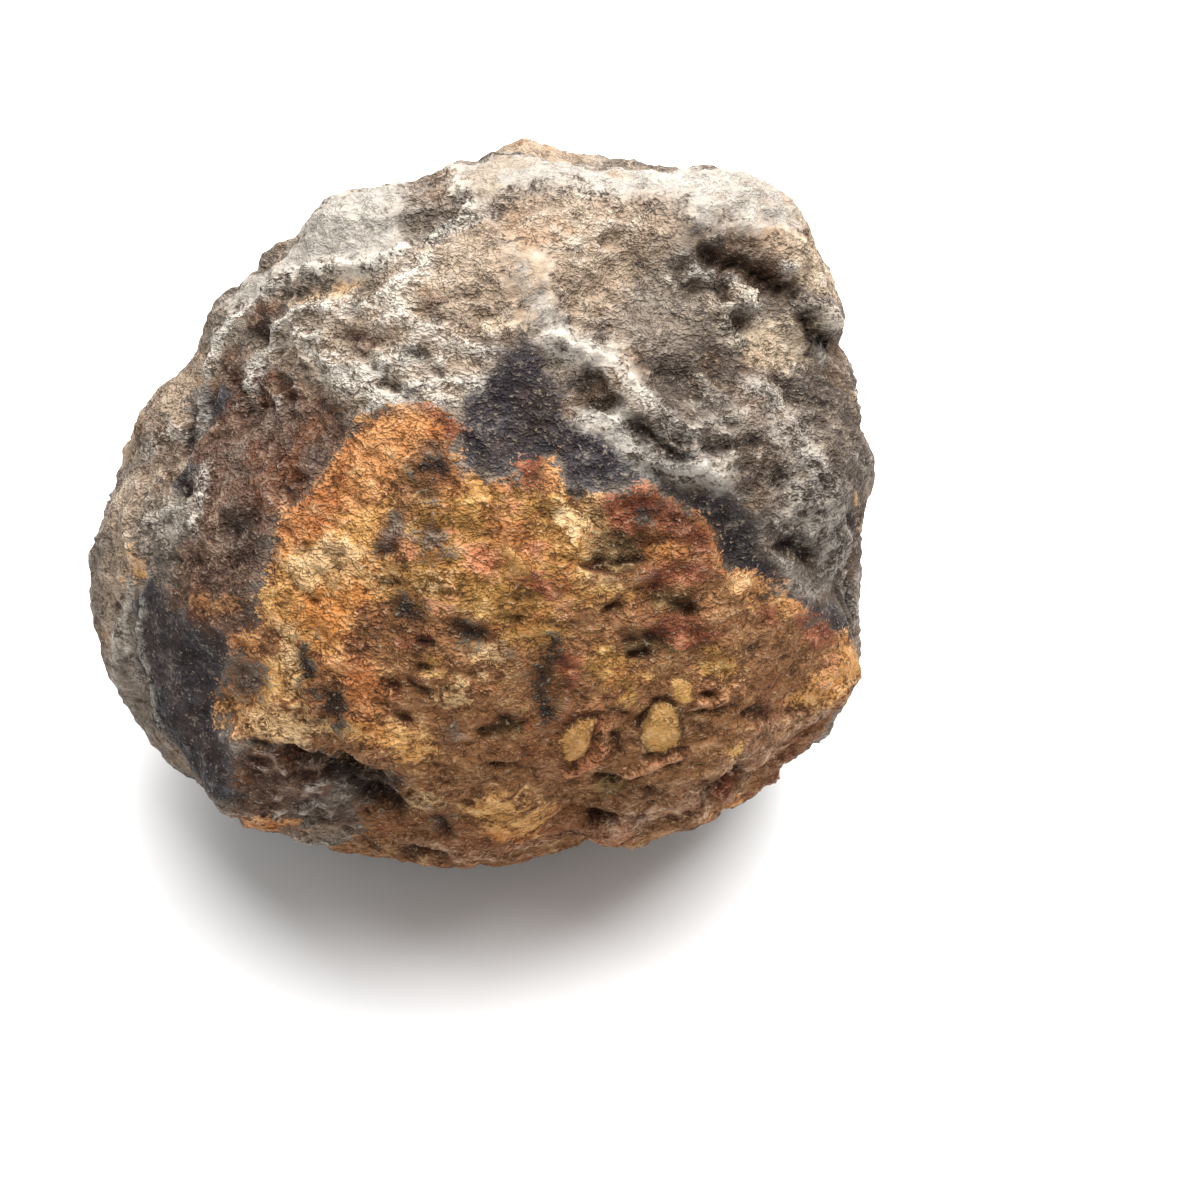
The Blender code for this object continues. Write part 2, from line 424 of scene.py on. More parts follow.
# The single forms of the near side
MARKS = (
    # Broad swells and dips along the outline
    Mark(((457, 167), (433, 182)), 1.4, 4.5),
    Mark(((700, 169), (745, 181)), 1.0, 5.0),
    Mark(((831, 280), (841, 308)), 1.6, 5.0),
    Mark(((843, 342), (846, 350)), -2.4, 3.4),
    Mark(((560, 150), (546, 150)), -0.8, 4.0),
    Mark(((850, 375), (855, 405)), 1.0, 4.0),
    Mark(((866, 438), (874, 458), (875, 480)), -1.3, 4.5),
    Mark(((858, 515), (856, 570)), 1.0, 5.0),
    Mark(((860, 634), (861, 646)), -1.1, 3.5),
    Mark(((804, 741), (772, 767)), 1.3, 6.0),
    Mark(((742, 790), (700, 813)), 1.6, 6.0),
    Mark(((608, 829), (596, 830)), 2.4, 6.0),
    Mark(((577, 843), (530, 858)), -1.9, 6.0),
    Mark(((440, 857), (424, 857)), 0.9, 6.0),
    Mark(((374, 862), (350, 858)), -1.7, 7.0),
    Mark(((312, 846), (290, 842)), -2.6, 8.0),
    Mark(((245, 820), (236, 816)), 1.3, 5.0),
    Mark(((207, 800), (176, 775), (154, 750), (130, 714)), -2.3, 8.0),
    Mark(((114, 668), (118, 676)), 1.2, 5.0),
    Mark(((92, 574), (90, 590)), -1.2, 5.0),
    Mark(((117, 484), (116, 496)), 1.6, 6.0),
    Mark(((126, 444), (121, 458)), -1.5, 5.0),
    Mark(((240, 286), (232, 296)), 1.2, 4.0),
    Mark(((288, 236), (280, 241), (262, 252)), -2.0, 6.0),
    Mark(((308, 220), (334, 201)), 1.1, 4.0),
    # The crests of the crust ridge on the right and its branches, worn pale, with a painted sheen
    Mark(((560, 340), (590, 356), (612, 362), (628, 376), (641, 388), (655, 406), (668, 424),
         (690, 437)), 1.4, 1.5, Profile.SHARP, bloom=0.58),
    Mark(((590, 414), (612, 418), (624, 432), (632, 448), (646, 461), (672, 468), (700, 470),
         (716, 480)), 1.4, 1.6, Profile.SHARP, bloom=0.68),
    Mark(((752, 386), (772, 394), (786, 408), (793, 430), (804, 453),
         (820, 478)), 1.1, 1.8, Profile.SHARP, bloom=0.48),
    Mark(((714, 484), (738, 499), (754, 520), (762, 545), (780, 566),
         (800, 590)), 0.8, 1.3, Profile.SHARP, bloom=0.07),
    Mark(((690, 437), (706, 428), (724, 420), (746, 412),
         (764, 400)), 0.7, 1.4, Profile.SHARP, bloom=0.34),
    Mark(((684, 462), (700, 466), (714, 470)), 0.6, 2.2, bloom=0.54),
    Mark(((700, 402), (716, 392), (732, 398)), 0.6, 1.5, Profile.SHARP, bloom=0.27),
    Mark(((765, 400), (776, 416), (784, 436)), 0.3, 3.4, bloom=0.34),
    Mark(((826, 474), (840, 500), (846, 530), (842, 566)), 0.9, 1.4, Profile.SHARP, bloom=0.34),
    Mark(((838, 560), (850, 590), (858, 620)), 0.7, 1.1, Profile.SHARP, bloom=0.34),
    Mark(((770, 590), (790, 584), (808, 596), (826, 590)), 0.5, 1.1, Profile.SHARP, bloom=0.27),
    # The black grooves, pits and cracks beside them, with painted shade in them
    Mark(((634, 428), (650, 434), (664, 446), (680, 458)), -1.9, 2.3, shade=0.9),
    Mark(((676, 438), (694, 443), (712, 449), (734, 446), (756, 438)), -1.2, 1.2, shade=0.8),
    Mark(((722, 422), (732, 426)), -0.8, 1.4, shade=0.6),
    Mark(((664, 376), (684, 386), (704, 398)), -1.1, 3.2, shade=0.4),
    Mark(((712, 372), (726, 384)), -0.8, 2.4, shade=0.35),
    Mark(((782, 378), (794, 388), (792, 404)), -1.7, 2.0, shade=0.6),
    Mark(((812, 400), (822, 420), (812, 430)), -0.8, 2.2, shade=0.3),
    Mark(((785, 547), (798, 549), (813, 560)), -1.9, 1.9, shade=0.95),
    Mark(((768, 470), (780, 480)), -0.9, 2.4, shade=0.4),
    Mark(((768, 504), (790, 502), (806, 506)), -0.7, 2.4, shade=0.35),
    Mark(((584, 388), (596, 398), (606, 404)), -1.3, 2.6, shade=0.4),
    Mark(((850, 518), (847, 560), (850, 600), (858, 634)), -1.5, 1.0, Profile.SHARP, shade=0.9),
    Mark(((838, 568), (842, 596), (850, 622)), -1.2, 0.9, Profile.SHARP, shade=0.9),
    Mark(((724, 520), (740, 545), (726, 566)), -1.0, 3.4, shade=0.35),
    Mark(((705, 505), (732, 540), (758, 568)), -0.3, 4.2, shade=0.4),
    # The worn brown between them, paled with dust and a painted sheen
    Mark(((800, 500), (832, 518), (838, 556)), 0.2, 4.0, bloom=0.32),
    # The cleft under the cap, with painted shadow in it, and the crumbs stuck in it
    Mark(((704, 254), (716, 262), (740, 268), (764, 278), (786, 290),
         (802, 300)), -2.4, 2.3, Profile.SHARP, shade=0.6),
    Mark(((702, 252), (712, 259)), -1.2, 1.4, shade=0.6),
    Mark(((720, 270), (719, 288), (722, 302)), -1.5, 1.0, shade=0.7),
    Mark(((748, 276), (764, 284), (782, 296)), -1.0, 2.2, shade=0.5),
    Mark(((730, 284), (736, 294), (742, 302)), 2.8, 1.9, Profile.TABLE, bloom=0.2),
    Mark(((730, 308), (737, 310)), 1.1, 0.9, Profile.TABLE, bloom=0.2),
    Mark(((733, 318), (739, 324)), -0.9, 1.1, shade=0.5),
    Mark(((748, 312), (755, 322)), 0.8, 0.8, bloom=0.2),
    Mark(((714, 302), (722, 312), (730, 326), (738, 342)), 1.2, 1.1, bloom=0.4),
    Mark(((806, 303), (818, 310), (830, 320)), 2.0, 1.6, Profile.TABLE, bloom=0.35),
    Mark(((806, 316), (812, 331), (822, 342), (838, 347)), -2.6, 1.3, Profile.SHARP, shade=1.0),
    # The lip of the left ridge and the pale crests of the upper left, with a painted highlight on the
    # crests and painted shade in the gaps and hollows
    Mark(((479, 218), (456, 226), (432, 238), (402, 250),
         (382, 256)), 1.1, 1.4, Profile.SHARP, bloom=1.0),
    Mark(((376, 262), (330, 268), (295, 274), (272, 288), (256, 304), (236, 322), (218, 345),
         (208, 372)), 1.2, 1.3, Profile.SHARP, bloom=0.9),
    Mark(((208, 372), (202, 400), (196, 440), (186, 478)), 0.9, 1.1, Profile.SHARP, bloom=0.3),
    Mark(((198, 412), (190, 444), (182, 480), (180, 500)), -1.2, 1.1, Profile.SHARP, shade=0.85),
    Mark(((204, 470), (196, 500), (190, 530)), 0.6, 0.9, Profile.SHARP, bloom=0.9),
    Mark(((250, 385), (262, 356), (280, 330), (304, 312), (340, 306), (370, 298), (398, 284),
         (425, 262)), 1.1, 1.7, Profile.SHARP, bloom=0.9),
    Mark(((300, 334), (320, 352), (340, 374), (366, 376), (390, 364),
         (412, 352)), 0.9, 1.8, Profile.SHARP, bloom=1.0),
    Mark(((404, 318), (424, 326), (446, 330), (466, 346),
         (486, 352)), 0.9, 1.3, Profile.SHARP, bloom=0.8),
    Mark(((366, 388), (392, 400), (404, 388), (428, 384), (446, 380),
         (470, 384)), 0.9, 1.1, Profile.SHARP, bloom=1.0),
    Mark(((372, 404), (396, 408), (420, 400), (446, 398)), 0.7, 1.0, Profile.SHARP, bloom=0.9),
    Mark(((434, 366), (446, 352), (440, 340)), 0.6, 1.1, Profile.SHARP, bloom=0.7),
    Mark(((380, 322), (400, 312), (392, 296)), 0.5, 1.3, Profile.SHARP, bloom=0.6),
    Mark(((288, 294), (320, 288), (352, 280), (366, 280)), -1.0, 2.2, shade=0.12),
    Mark(((346, 332), (362, 338), (388, 340)), -0.9, 1.8, shade=0.12),
    Mark(((352, 350), (366, 354)), -0.8, 1.7, shade=0.3),
    Mark(((408, 352), (422, 354)), -1.0, 1.2, Profile.SHARP, shade=0.95),
    Mark(((382, 384), (398, 388)), -0.9, 1.4, shade=0.7),
    Mark(((402, 392), (410, 396)), -0.8, 1.2, shade=0.6),
    Mark(((374, 368), (386, 372)), -0.7, 1.3, shade=0.5),
    Mark(((426, 362), (440, 372)), -0.7, 1.4, shade=0.45),
    Mark(((256, 328), (264, 338)), -1.0, 1.8, shade=0.75),
    Mark(((428, 308), (438, 318)), -1.0, 1.8, shade=0.5),
    Mark(((462, 290), (472, 296)), -0.7, 1.4, shade=0.35),
    # The brow, the lobe behind and the hollows before them, with painted shade in the hollows and under the
    # cap and painted light on the top
    Mark(((500, 214), (524, 200), (548, 196)), -1.1, 3.6, shade=0.2),
    Mark(((452, 178), (464, 196), (468, 210)), 0.9, 1.5, Profile.SHARP, bloom=0.5),
    Mark(((406, 226), (432, 220), (458, 208)), -1.2, 2.8, shade=0.35),
    Mark(((300, 222), (340, 214), (380, 222)), 0.5, 2.4, bloom=0.3),
    Mark(((580, 186), (640, 176), (700, 184)), 0.8, 3.4, bloom=0.3),
    Mark(((700, 236), (730, 246), (770, 256)), -0.6, 3.0, shade=0.35),
    # The thin seams down the left side, the painted sheen across the flank, and its pits with painted shade
    Mark(((132, 560), (128, 590), (124, 640), (134, 680)), 0.5, 0.9, Profile.SHARP, bloom=0.5),
    Mark(((118, 612), (114, 640), (118, 680)), 0.4, 0.8, Profile.SHARP, bloom=0.5),
    Mark(((140, 548), (142, 600), (140, 650), (150, 700),
         (160, 730)), 0.5, 0.9, Profile.SHARP, bloom=0.4),
    Mark(((114, 490), (110, 540), (112, 610)), -1.2, 2.2, shade=0.1),
    Mark(((140, 450), (160, 440), (182, 432), (200, 422)), 0.7, 1.6, Profile.SHARP, bloom=0.7),
    Mark(((150, 524), (166, 512), (184, 506)), 0.5, 1.1, Profile.SHARP, bloom=0.4),
    Mark(((144, 548), (160, 536), (178, 530), (190, 520)), 0.5, 1.0, Profile.SHARP, bloom=0.4),
    Mark(((182, 484), (186, 490)), -1.2, 1.2, shade=0.95),
    Mark(((224, 520), (240, 524), (252, 520)), -0.9, 1.8, shade=0.6),
    Mark(((220, 536), (236, 530)), -0.6, 1.6, shade=0.5),
    Mark(((176, 560), (200, 564), (228, 556), (250, 548)), -0.6, 0.9, Profile.SHARP, shade=0.4),
    Mark(((222, 572), (240, 562), (262, 548)), -0.6, 0.8, Profile.SHARP, shade=0.5),
    # The low ledge at the lower left, and the black pits under it, with painted shadow in them
    Mark(((229, 739), (268, 735), (308, 742), (336, 755), (373, 757), (389, 773), (407, 797),
         (425, 808)), 1.2, 1.5, Profile.SHARP, bloom=0.3),
    Mark(((286, 748), (304, 752), (320, 760)), -1.8, 1.7, shade=0.95),
    Mark(((254, 742), (266, 744)), -0.9, 1.1, shade=0.8),
    Mark(((332, 768), (350, 768), (370, 776)), -2.8, 2.6, shade=1.0),
    Mark(((368, 794), (384, 796), (396, 803)), -2.2, 2.2, shade=0.95),
    Mark(((372, 764), (386, 774)), 0.7, 0.8, Profile.SHARP, bloom=0.4),
    Mark(((300, 810), (316, 806)), 0.6, 0.8, Profile.SHARP, bloom=0.4),
    Mark(((322, 824), (345, 818)), -1.0, 2.2, shade=0.5),
    Mark(((406, 852), (422, 847), (441, 850)), -1.7, 1.7, shade=0.95),
    Mark(((442, 824), (447, 834)), -1.2, 1.4, shade=0.7),
    Mark(((352, 836), (372, 852)), -1.0, 1.6, shade=0.6),
    # The pits of the ochre face, with painted shade in them, and the darker middles of two soot spots
    Mark(((378, 553), (392, 549)), -1.1, 1.1, shade=0.59),
    Mark(((326, 552), (334, 556)), -0.7, 1.0, shade=0.34),
    Mark(((382, 583), (396, 584)), -1.1, 1.0, shade=0.68),
    Mark(((385, 682), (396, 686)), -1.0, 0.9, shade=0.68),
    Mark(((410, 684), (428, 692)), -1.0, 0.8, shade=0.68),
    Mark(((374, 704), (384, 706)), -0.9, 0.7, shade=0.51),
    Mark(((394, 716), (408, 720)), -1.1, 0.8, shade=0.72),
    Mark(((418, 666), (428, 668)), -0.7, 0.7, shade=0.51),
    Mark(((420, 640), (430, 643)), -1.1, 1.0, shade=0.72),
    Mark(((456, 626), (470, 630), (484, 636)), -1.2, 1.4, shade=0.72),
    Mark(((505, 618), (520, 619)), -0.6, 0.8, shade=0.51),
    Mark(((414, 486), (426, 492)), -0.7, 1.6, shade=0.42),
    Mark(((546, 508), (558, 512)), -0.9, 0.9, shade=0.59),
    Mark(((570, 492), (584, 494)), -0.9, 0.8, shade=0.51),
    Mark(((512, 484), (516, 492)), -0.7, 0.9, shade=0.51),
    Mark(((470, 440), (484, 456)), -0.8, 1.1, shade=0.42),
    Mark(((485, 732), (502, 728), (517, 730)), -1.1, 0.9, shade=0.68),
    Mark(((504, 719), (510, 722)), -0.9, 0.7, shade=0.68),
    Mark(((480, 770), (500, 768), (520, 766)), -0.8, 0.8, shade=0.42),
    Mark(((600, 560), (622, 562), (642, 558)), -1.2, 1.0, shade=0.77),
    Mark(((584, 566), (600, 568), (612, 572)), -1.1, 0.8, shade=0.68),
    Mark(((602, 548), (618, 540), (634, 546)), -1.0, 1.9, shade=0.26),
    Mark(((604, 610), (618, 608)), -1.2, 1.0, shade=0.68),
    Mark(((612, 608), (620, 604)), -0.9, 0.9, shade=0.59),
    Mark(((634, 656), (650, 653)), -1.6, 1.2, shade=0.85),
    Mark(((628, 640), (650, 636), (666, 640)), -1.1, 1.2, shade=0.64),
    Mark(((676, 604), (690, 608)), -1.2, 1.0, shade=0.72),
    Mark(((656, 588), (666, 600)), -0.9, 1.3, shade=0.42),
    Mark(((745, 650), (762, 646)), -1.0, 1.2, shade=0.51),
    Mark(((748, 716), (758, 710), (768, 716)), -1.3, 1.4, shade=0.59),
    Mark(((614, 736), (616, 745)), -1.5, 1.2, shade=0.72),
    Mark(((600, 780), (614, 782)), -1.6, 1.4, shade=0.68),
    Mark(((592, 815), (602, 812), (612, 816)), -2.0, 1.4, shade=0.77),
    Mark(((632, 816), (642, 818)), -1.4, 1.2, shade=0.59),
    Mark(((572, 838), (584, 835), (600, 842)), -1.8, 1.4, shade=0.81),
    Mark(((690, 716), (700, 732)), -1.0, 1.6, shade=0.34),
    Mark(((396, 604), (412, 616)), -0.5, 1.8, shade=0.8),
    Mark(((545, 676), (543, 694)), -0.5, 1.5, shade=0.7),
    # The folds of its rusty flakes, with painted shade in one fold
    Mark(((600, 508), (616, 498), (636, 492), (656, 500), (684, 514)), 0.8, 1.3, bloom=0.1),
    Mark(((644, 512), (660, 520), (682, 520), (700, 526)), -0.8, 1.0, Profile.SHARP, shade=0.5),
    Mark(((640, 578), (656, 568), (680, 563), (704, 567), (716, 578)), 0.8, 1.3),
    Mark(((706, 528), (710, 548), (718, 566), (730, 580), (748, 586)), 0.8, 1.3),
    # The low edge along the right of the keel, pale with dust and a painted sheen, with painted shade in
    # the hollow under it
    Mark(((856, 674), (841, 696), (806, 713), (776, 724), (754, 732), (744, 748), (727, 760), (714, 774),
         (692, 799), (652, 806), (618, 822), (580, 828), (543, 847), (504, 854), (451, 847),
         (417, 838)), 1.0, 1.5, Profile.SHARP, bloom=0.5),
    Mark(((712, 792), (724, 784), (738, 774)), -2.4, 2.6, shade=0.85),
    Mark(((637, 788), (658, 795)), -0.8, 1.0, Profile.SHARP, shade=0.5),
    Mark(((640, 826), (690, 812), (740, 780), (790, 744)), -0.8, 1.4, Profile.SHARP, shade=0.5),
    Mark(((752, 752), (784, 736), (816, 716), (842, 694)), 0.6, 0.9, Profile.SHARP, bloom=0.6),
    Mark(((760, 768), (790, 750), (822, 728)), 0.5, 0.9, Profile.SHARP, bloom=0.4),
    Mark(((600, 806), (630, 802), (664, 794), (690, 786)), 0.6, 0.9, Profile.SHARP, bloom=0.6),
    # Pebbles and flakes that stand out of the ochre face, with painted shade in their cracks
    Mark(((655, 734), (666, 722)), 0.9, 3.0, Profile.TABLE),
    Mark(((656, 702), (641, 722), (640, 738), (648, 752), (664, 755), (683, 748), (681, 716), (668, 699),
         (656, 702)), -0.8, 0.8, Profile.SHARP, shade=0.7),
    Mark(((568, 748), (584, 732)), 0.8, 2.5, Profile.TABLE, shade=0.2),
    Mark(((560, 737), (576, 719), (600, 713), (594, 733), (590, 750),
         (572, 766)), -0.7, 0.7, Profile.SHARP, shade=0.6),
    Mark(((678, 690), (684, 694)), 0.6, 1.9, Profile.TABLE),
    Mark(((700, 688), (714, 684), (724, 698), (712, 707), (700, 704)), 0.9, 1.0),
    Mark(((706, 693), (710, 695)), -1.2, 1.0, shade=0.6),
    Mark(((696, 712), (712, 712), (728, 704)), -0.6, 0.7, Profile.SHARP, shade=0.6),
    Mark(((736, 686), (742, 690)), 0.7, 1.2),
    Mark(((627, 774), (642, 770), (660, 762), (677, 757)), 0.8, 1.0),
    Mark(((630, 780), (648, 774), (664, 768), (680, 762)), -0.6, 0.6, Profile.SHARP, shade=0.6),
    Mark(((574, 770), (592, 760), (602, 740)), 0.7, 1.2),
    Mark(((503, 545), (514, 556), (528, 567)), 0.8, 1.2),
    Mark(((640, 512), (662, 508), (680, 524), (684, 546), (672, 556)), 0.9, 1.4),
    Mark(((820, 690), (842, 660), (854, 668)), 0.8, 2.2),
    Mark(((488, 326), (494, 334)), 0.8, 1.3, Profile.TABLE),
    Mark(((308, 716), (320, 713)), 0.8, 0.9, Profile.TABLE),
    Mark(((306, 722), (318, 721)), -0.6, 0.6, Profile.SHARP, shade=0.7),
    Mark(((482, 802), (510, 798), (540, 808)), 0.5, 2.4),
)

# The outlines of each mineral's patches, near side first
OUTLINES = {
    # Pale crust on the top, the left lobe, beside the crests and on the far side; on the top and the crests
    # it is partly painted sheen and light
    Mineral.PALE_AND_SHEEN: (
        ((455, 162), (560, 150), (700, 160), (780, 188), (812, 228), (790, 236), (750, 230), (700, 226),
         (640, 200), (580, 186), (540, 184), (500, 186), (476, 206), (466, 196), (450, 178)),
        ((262, 262), (286, 238), (306, 214), (334, 194), (372, 186), (404, 188), (398, 206), (400, 226),
         (384, 254), (370, 268), (300, 272), (262, 292), (240, 312), (226, 300)),
        ((512, 240), (540, 262), (556, 310), (600, 346), (640, 352), (626, 372), (600, 360), (566, 346),
         (540, 336), (520, 316), (508, 280)),
        ((580, 408), (612, 412), (632, 444), (650, 458), (700, 462), (722, 474), (712, 486), (676, 480),
         (636, 462), (600, 430)),
        (Place(120, 45), Place(80, 50), Place(50, 40), Place(70, 22), Place(110, 25)),
        (Place(178, 20), Place(160, 25), Place(150, 5), Place(165, -5), Place(-178, 2)),
    ),
    # The brow, the upper left field and the cap
    Mineral.BUFF: (
        ((492, 212), (514, 196), (580, 190), (600, 210), (566, 240), (556, 296), (530, 290), (512, 250),
         (484, 226), (474, 214)),
        ((262, 330), (300, 306), (372, 268), (400, 254), (470, 228), (500, 236), (522, 276), (536, 320),
         (510, 336), (490, 352), (500, 372), (476, 392), (450, 404), (410, 400), (372, 392), (340, 384),
         (300, 372), (262, 372), (248, 356)),
        ((548, 226), (580, 190), (640, 194), (684, 216), (664, 256), (620, 300), (580, 326), (552, 300)),
        ((776, 230), (808, 236), (832, 274), (846, 304), (822, 306), (800, 290), (778, 272), (760, 246)),
        ((262, 300), (290, 286), (340, 276), (372, 272), (360, 296), (310, 308), (276, 316)),
        (Place(95, 62), Place(60, 58), Place(40, 44), Place(64, 40), Place(90, 48)),
        (Place(-170, 28), Place(168, 36), Place(156, 24), Place(170, 12), Place(-176, 14)),
        ((98, 540), (116, 500), (146, 452), (160, 468), (138, 530), (122, 600), (106, 640), (96, 600)),
    ),
    # Dark brown-grey in the basin and down the right side
    Mineral.BROWN: (
        ((640, 362), (676, 350), (710, 340), (736, 344), (746, 362), (770, 376), (786, 372), (812, 366),
         (844, 372), (862, 420), (872, 470), (866, 520), (864, 560), (852, 610), (812, 590), (780, 560),
         (756, 520), (736, 492), (722, 470), (740, 440), (752, 420), (744, 400), (716, 412), (690, 430),
         (664, 412), (648, 384)),
        ((634, 422), (664, 430), (700, 440), (716, 452), (690, 462), (654, 456), (638, 442)),
        ((562, 376), (585, 366), (612, 380), (624, 404), (592, 410), (570, 400)),
        ((700, 234), (740, 240), (776, 262), (800, 284), (806, 300), (780, 300), (740, 272), (706, 262)),
        (Place(140, -5), Place(120, 12), Place(95, 5), Place(100, -25), Place(130, -30)),
        (Place(60, 5), Place(30, 15), Place(5, 5), Place(10, -30), Place(50, -35)),
    ),
    # Red-brown down the left flank and over the low left lobe
    Mineral.UMBER: (
        ((205, 380), (235, 350), (300, 372), (340, 400), (350, 430), (310, 490), (282, 512), (264, 560),
         (256, 600), (262, 640), (240, 650), (180, 640), (160, 610), (175, 560), (190, 500), (195, 450)),
        ((230, 746), (290, 744), (330, 766), (344, 780), (330, 800), (306, 812), (290, 830), (250, 826),
         (226, 796)),
        ((262, 306), (290, 300), (296, 316), (276, 338), (256, 344), (240, 336)),
        ((344, 328), (370, 328), (388, 338), (370, 350), (350, 346)),
        ((426, 300), (444, 302), (444, 322), (428, 324)),
        ((474, 330), (486, 328), (494, 344), (482, 350)),
        (Place(120, 10), Place(100, 30), Place(70, 20), Place(75, -5), Place(105, -12)),
        (Place(-172, -5), Place(-178, -25), Place(160, -30), Place(152, -12), Place(168, 2)),
        (Place(20, -10), Place(48, -4), Place(60, -25), Place(35, -38), Place(12, -28)),
    ),
    # Fine and pale in the cleft, over the cap and on one chip
    Mineral.SAND: (
        ((738, 334), (760, 322), (782, 316), (801, 309), (814, 348), (814, 360), (790, 374), (762, 370),
         (742, 360)),
        ((790, 238), (806, 238), (824, 262), (836, 290), (816, 294), (796, 272)),
        ((722, 284), (734, 274), (752, 300), (746, 312), (728, 304)),
        ((804, 298), (814, 298), (834, 320), (822, 324), (808, 314)),
        (Place(60, 30), Place(72, 36), Place(80, 26), Place(66, 20)),
        ((483, 320), (497, 320), (501, 332), (490, 343), (483, 336)),
    ),
    # The band over the ochre face, the left flank and the low left edge
    Mineral.CHARCOAL: (
        ((482, 372), (500, 346), (522, 340), (544, 356), (558, 388), (562, 420), (600, 432), (640, 464),
         (690, 484), (722, 492), (752, 510), (764, 550), (784, 580), (800, 594), (822, 600), (846, 612),
         (858, 646), (842, 646), (826, 628), (802, 612), (786, 594), (752, 582), (724, 574), (712, 550),
         (708, 524), (684, 506), (650, 486), (618, 488), (600, 496), (566, 488), (552, 456), (520, 470),
         (506, 480), (470, 478), (458, 450), (462, 404)),
        ((132, 600), (152, 580), (170, 600), (210, 624), (236, 644), (226, 664), (216, 696), (220, 724),
         (232, 750), (240, 800), (215, 800), (190, 770), (170, 740), (150, 706), (134, 660)),
        ((194, 388), (208, 382), (232, 392), (226, 420), (206, 430), (196, 470), (184, 520), (178, 500),
         (186, 440)),
        (Place(140, 20), Place(128, 30), Place(120, 18), Place(130, 6)),
        (Place(-150, -30), Place(-130, -34), Place(-120, -50), Place(-160, -52)),
        (Place(50, 10), Place(38, 20), Place(30, 8), Place(42, 0)),
    ),
    # The broad ochre face, carried under the keel
    Mineral.OCHRE: (
        ((345, 435), (360, 420), (390, 406), (425, 400), (450, 408), (458, 430), (456, 450), (466, 478),
         (510, 480), (520, 466), (552, 452), (566, 488), (600, 497), (620, 490), (650, 488), (686, 510),
         (708, 526), (714, 556), (728, 576), (754, 580), (786, 592), (802, 614), (826, 626), (842, 636),
         (860, 662), Place(-28, -14), Place(-42, -34), Place(-70, -46), Place(-100, -44),
         Place(-118, -28), (340, 852), (366, 826), (352, 806), (366, 786), (340, 765), (300, 742),
         (238, 738), (216, 716), (214, 694), (240, 656), (258, 618), (262, 574), (276, 522), (308, 492)),
        ((190, 594), (236, 594), (246, 612), (214, 622), (192, 612)),
        ((400, 776), (440, 780), (450, 812), (430, 826), (404, 812)),
        ((237, 818), (268, 824), (296, 826), (296, 840), (252, 834)),
        (Place(96, -20), Place(118, -16), Place(122, -34), Place(100, -40)),
    ),
    # Bright over its left shoulder, its low ledge and its right corner
    Mineral.HONEY: (
        ((268, 570), (290, 530), (345, 500), (392, 486), (400, 500), (384, 540), (400, 570), (396, 596),
         (360, 616), (350, 640), (330, 662), (306, 656), (290, 632), (266, 620)),
        ((262, 664), (290, 650), (306, 680), (296, 700), (270, 706), (244, 716), (220, 716), (218, 696),
         (246, 700)),
        ((346, 712), (380, 722), (420, 730), (440, 760), (414, 764), (380, 750), (344, 736)),
        ((748, 578), (772, 582), (792, 592), (798, 610), (776, 608), (752, 600)),
        ((790, 700), (806, 680), (826, 670), (838, 636), (852, 644), (860, 664), (846, 694), (812, 712),
         (788, 716)),
        ((128, 574), (134, 552), (148, 546), (150, 560), (140, 582), (130, 584)),
        ((467, 803), (500, 796), (528, 800), (551, 816), (530, 837), (491, 837), (472, 819)),
    ),
    # Rusty at its top left, by the low ledge and under the right edge
    Mineral.ORANGE: (
        ((345, 438), (366, 424), (395, 408), (436, 402), (452, 416), (450, 440), (420, 446), (404, 470),
         (392, 500), (350, 516), (310, 545), (272, 562), (280, 520), (312, 490)),
        ((232, 640), (246, 632), (262, 640), (256, 656), (238, 656)),
        ((310, 650), (340, 656), (372, 664), (396, 690), (380, 716), (350, 712), (330, 690)),
        ((236, 816), (266, 820), (292, 828), (288, 838), (256, 834)),
        ((446, 450), (458, 446), (462, 474), (450, 480)),
        ((545, 462), (556, 452), (564, 480), (552, 490), (540, 480)),
        ((700, 810), (740, 792), (770, 770), (790, 752), (780, 772), (744, 802), (706, 820)),
    ),
    # Through the middle of it
    Mineral.YELLOW: (
        ((405, 502), (440, 486), (470, 476), (520, 484), (560, 494), (600, 500), (606, 520), (590, 540),
         (586, 580), (620, 590), (650, 584), (646, 600), (600, 610), (566, 612), (566, 636), (548, 656),
         (500, 650), (490, 624), (450, 616), (420, 606), (404, 580), (412, 552)),
        ((642, 540), (668, 530), (690, 548), (690, 562), (652, 568), (640, 556)),
        ((600, 640), (640, 660), (654, 680), (630, 700), (590, 690), (580, 660)),
        ((700, 640), (740, 650), (740, 680), (704, 676)),
        ((404, 640), (440, 652), (444, 672), (414, 662)),
    ),
    # Pale and sandy within it
    Mineral.TAN: (
        ((284, 566), (296, 552), (320, 544), (352, 548), (378, 562), (392, 580), (372, 592), (340, 584),
         (310, 590), (288, 588)),
        ((560, 510), (584, 500), (606, 508), (600, 530), (576, 536), (560, 526)),
        ((432, 576), (452, 572), (450, 590), (420, 590)),
        ((472, 642), (504, 644), (520, 658), (508, 676), (482, 668)),
        ((250, 716), (290, 706), (336, 722), (330, 738), (290, 740), (250, 736)),
        ((276, 628), (292, 624), (300, 650), (298, 690), (284, 700), (280, 660)),
        ((402, 782), (430, 788), (440, 806), (416, 810)),
        ((432, 694), (462, 690), (470, 704), (444, 710)),
        ((286, 296), (320, 287), (352, 281), (342, 298), (304, 310)),
    ),
    # Dark hollows between the flakes
    Mineral.OLIVE: (
        ((596, 528), (622, 524), (646, 538), (652, 562), (632, 576), (600, 572), (588, 560), (592, 544)),
        ((648, 588), (690, 584), (700, 606), (676, 616), (650, 612)),
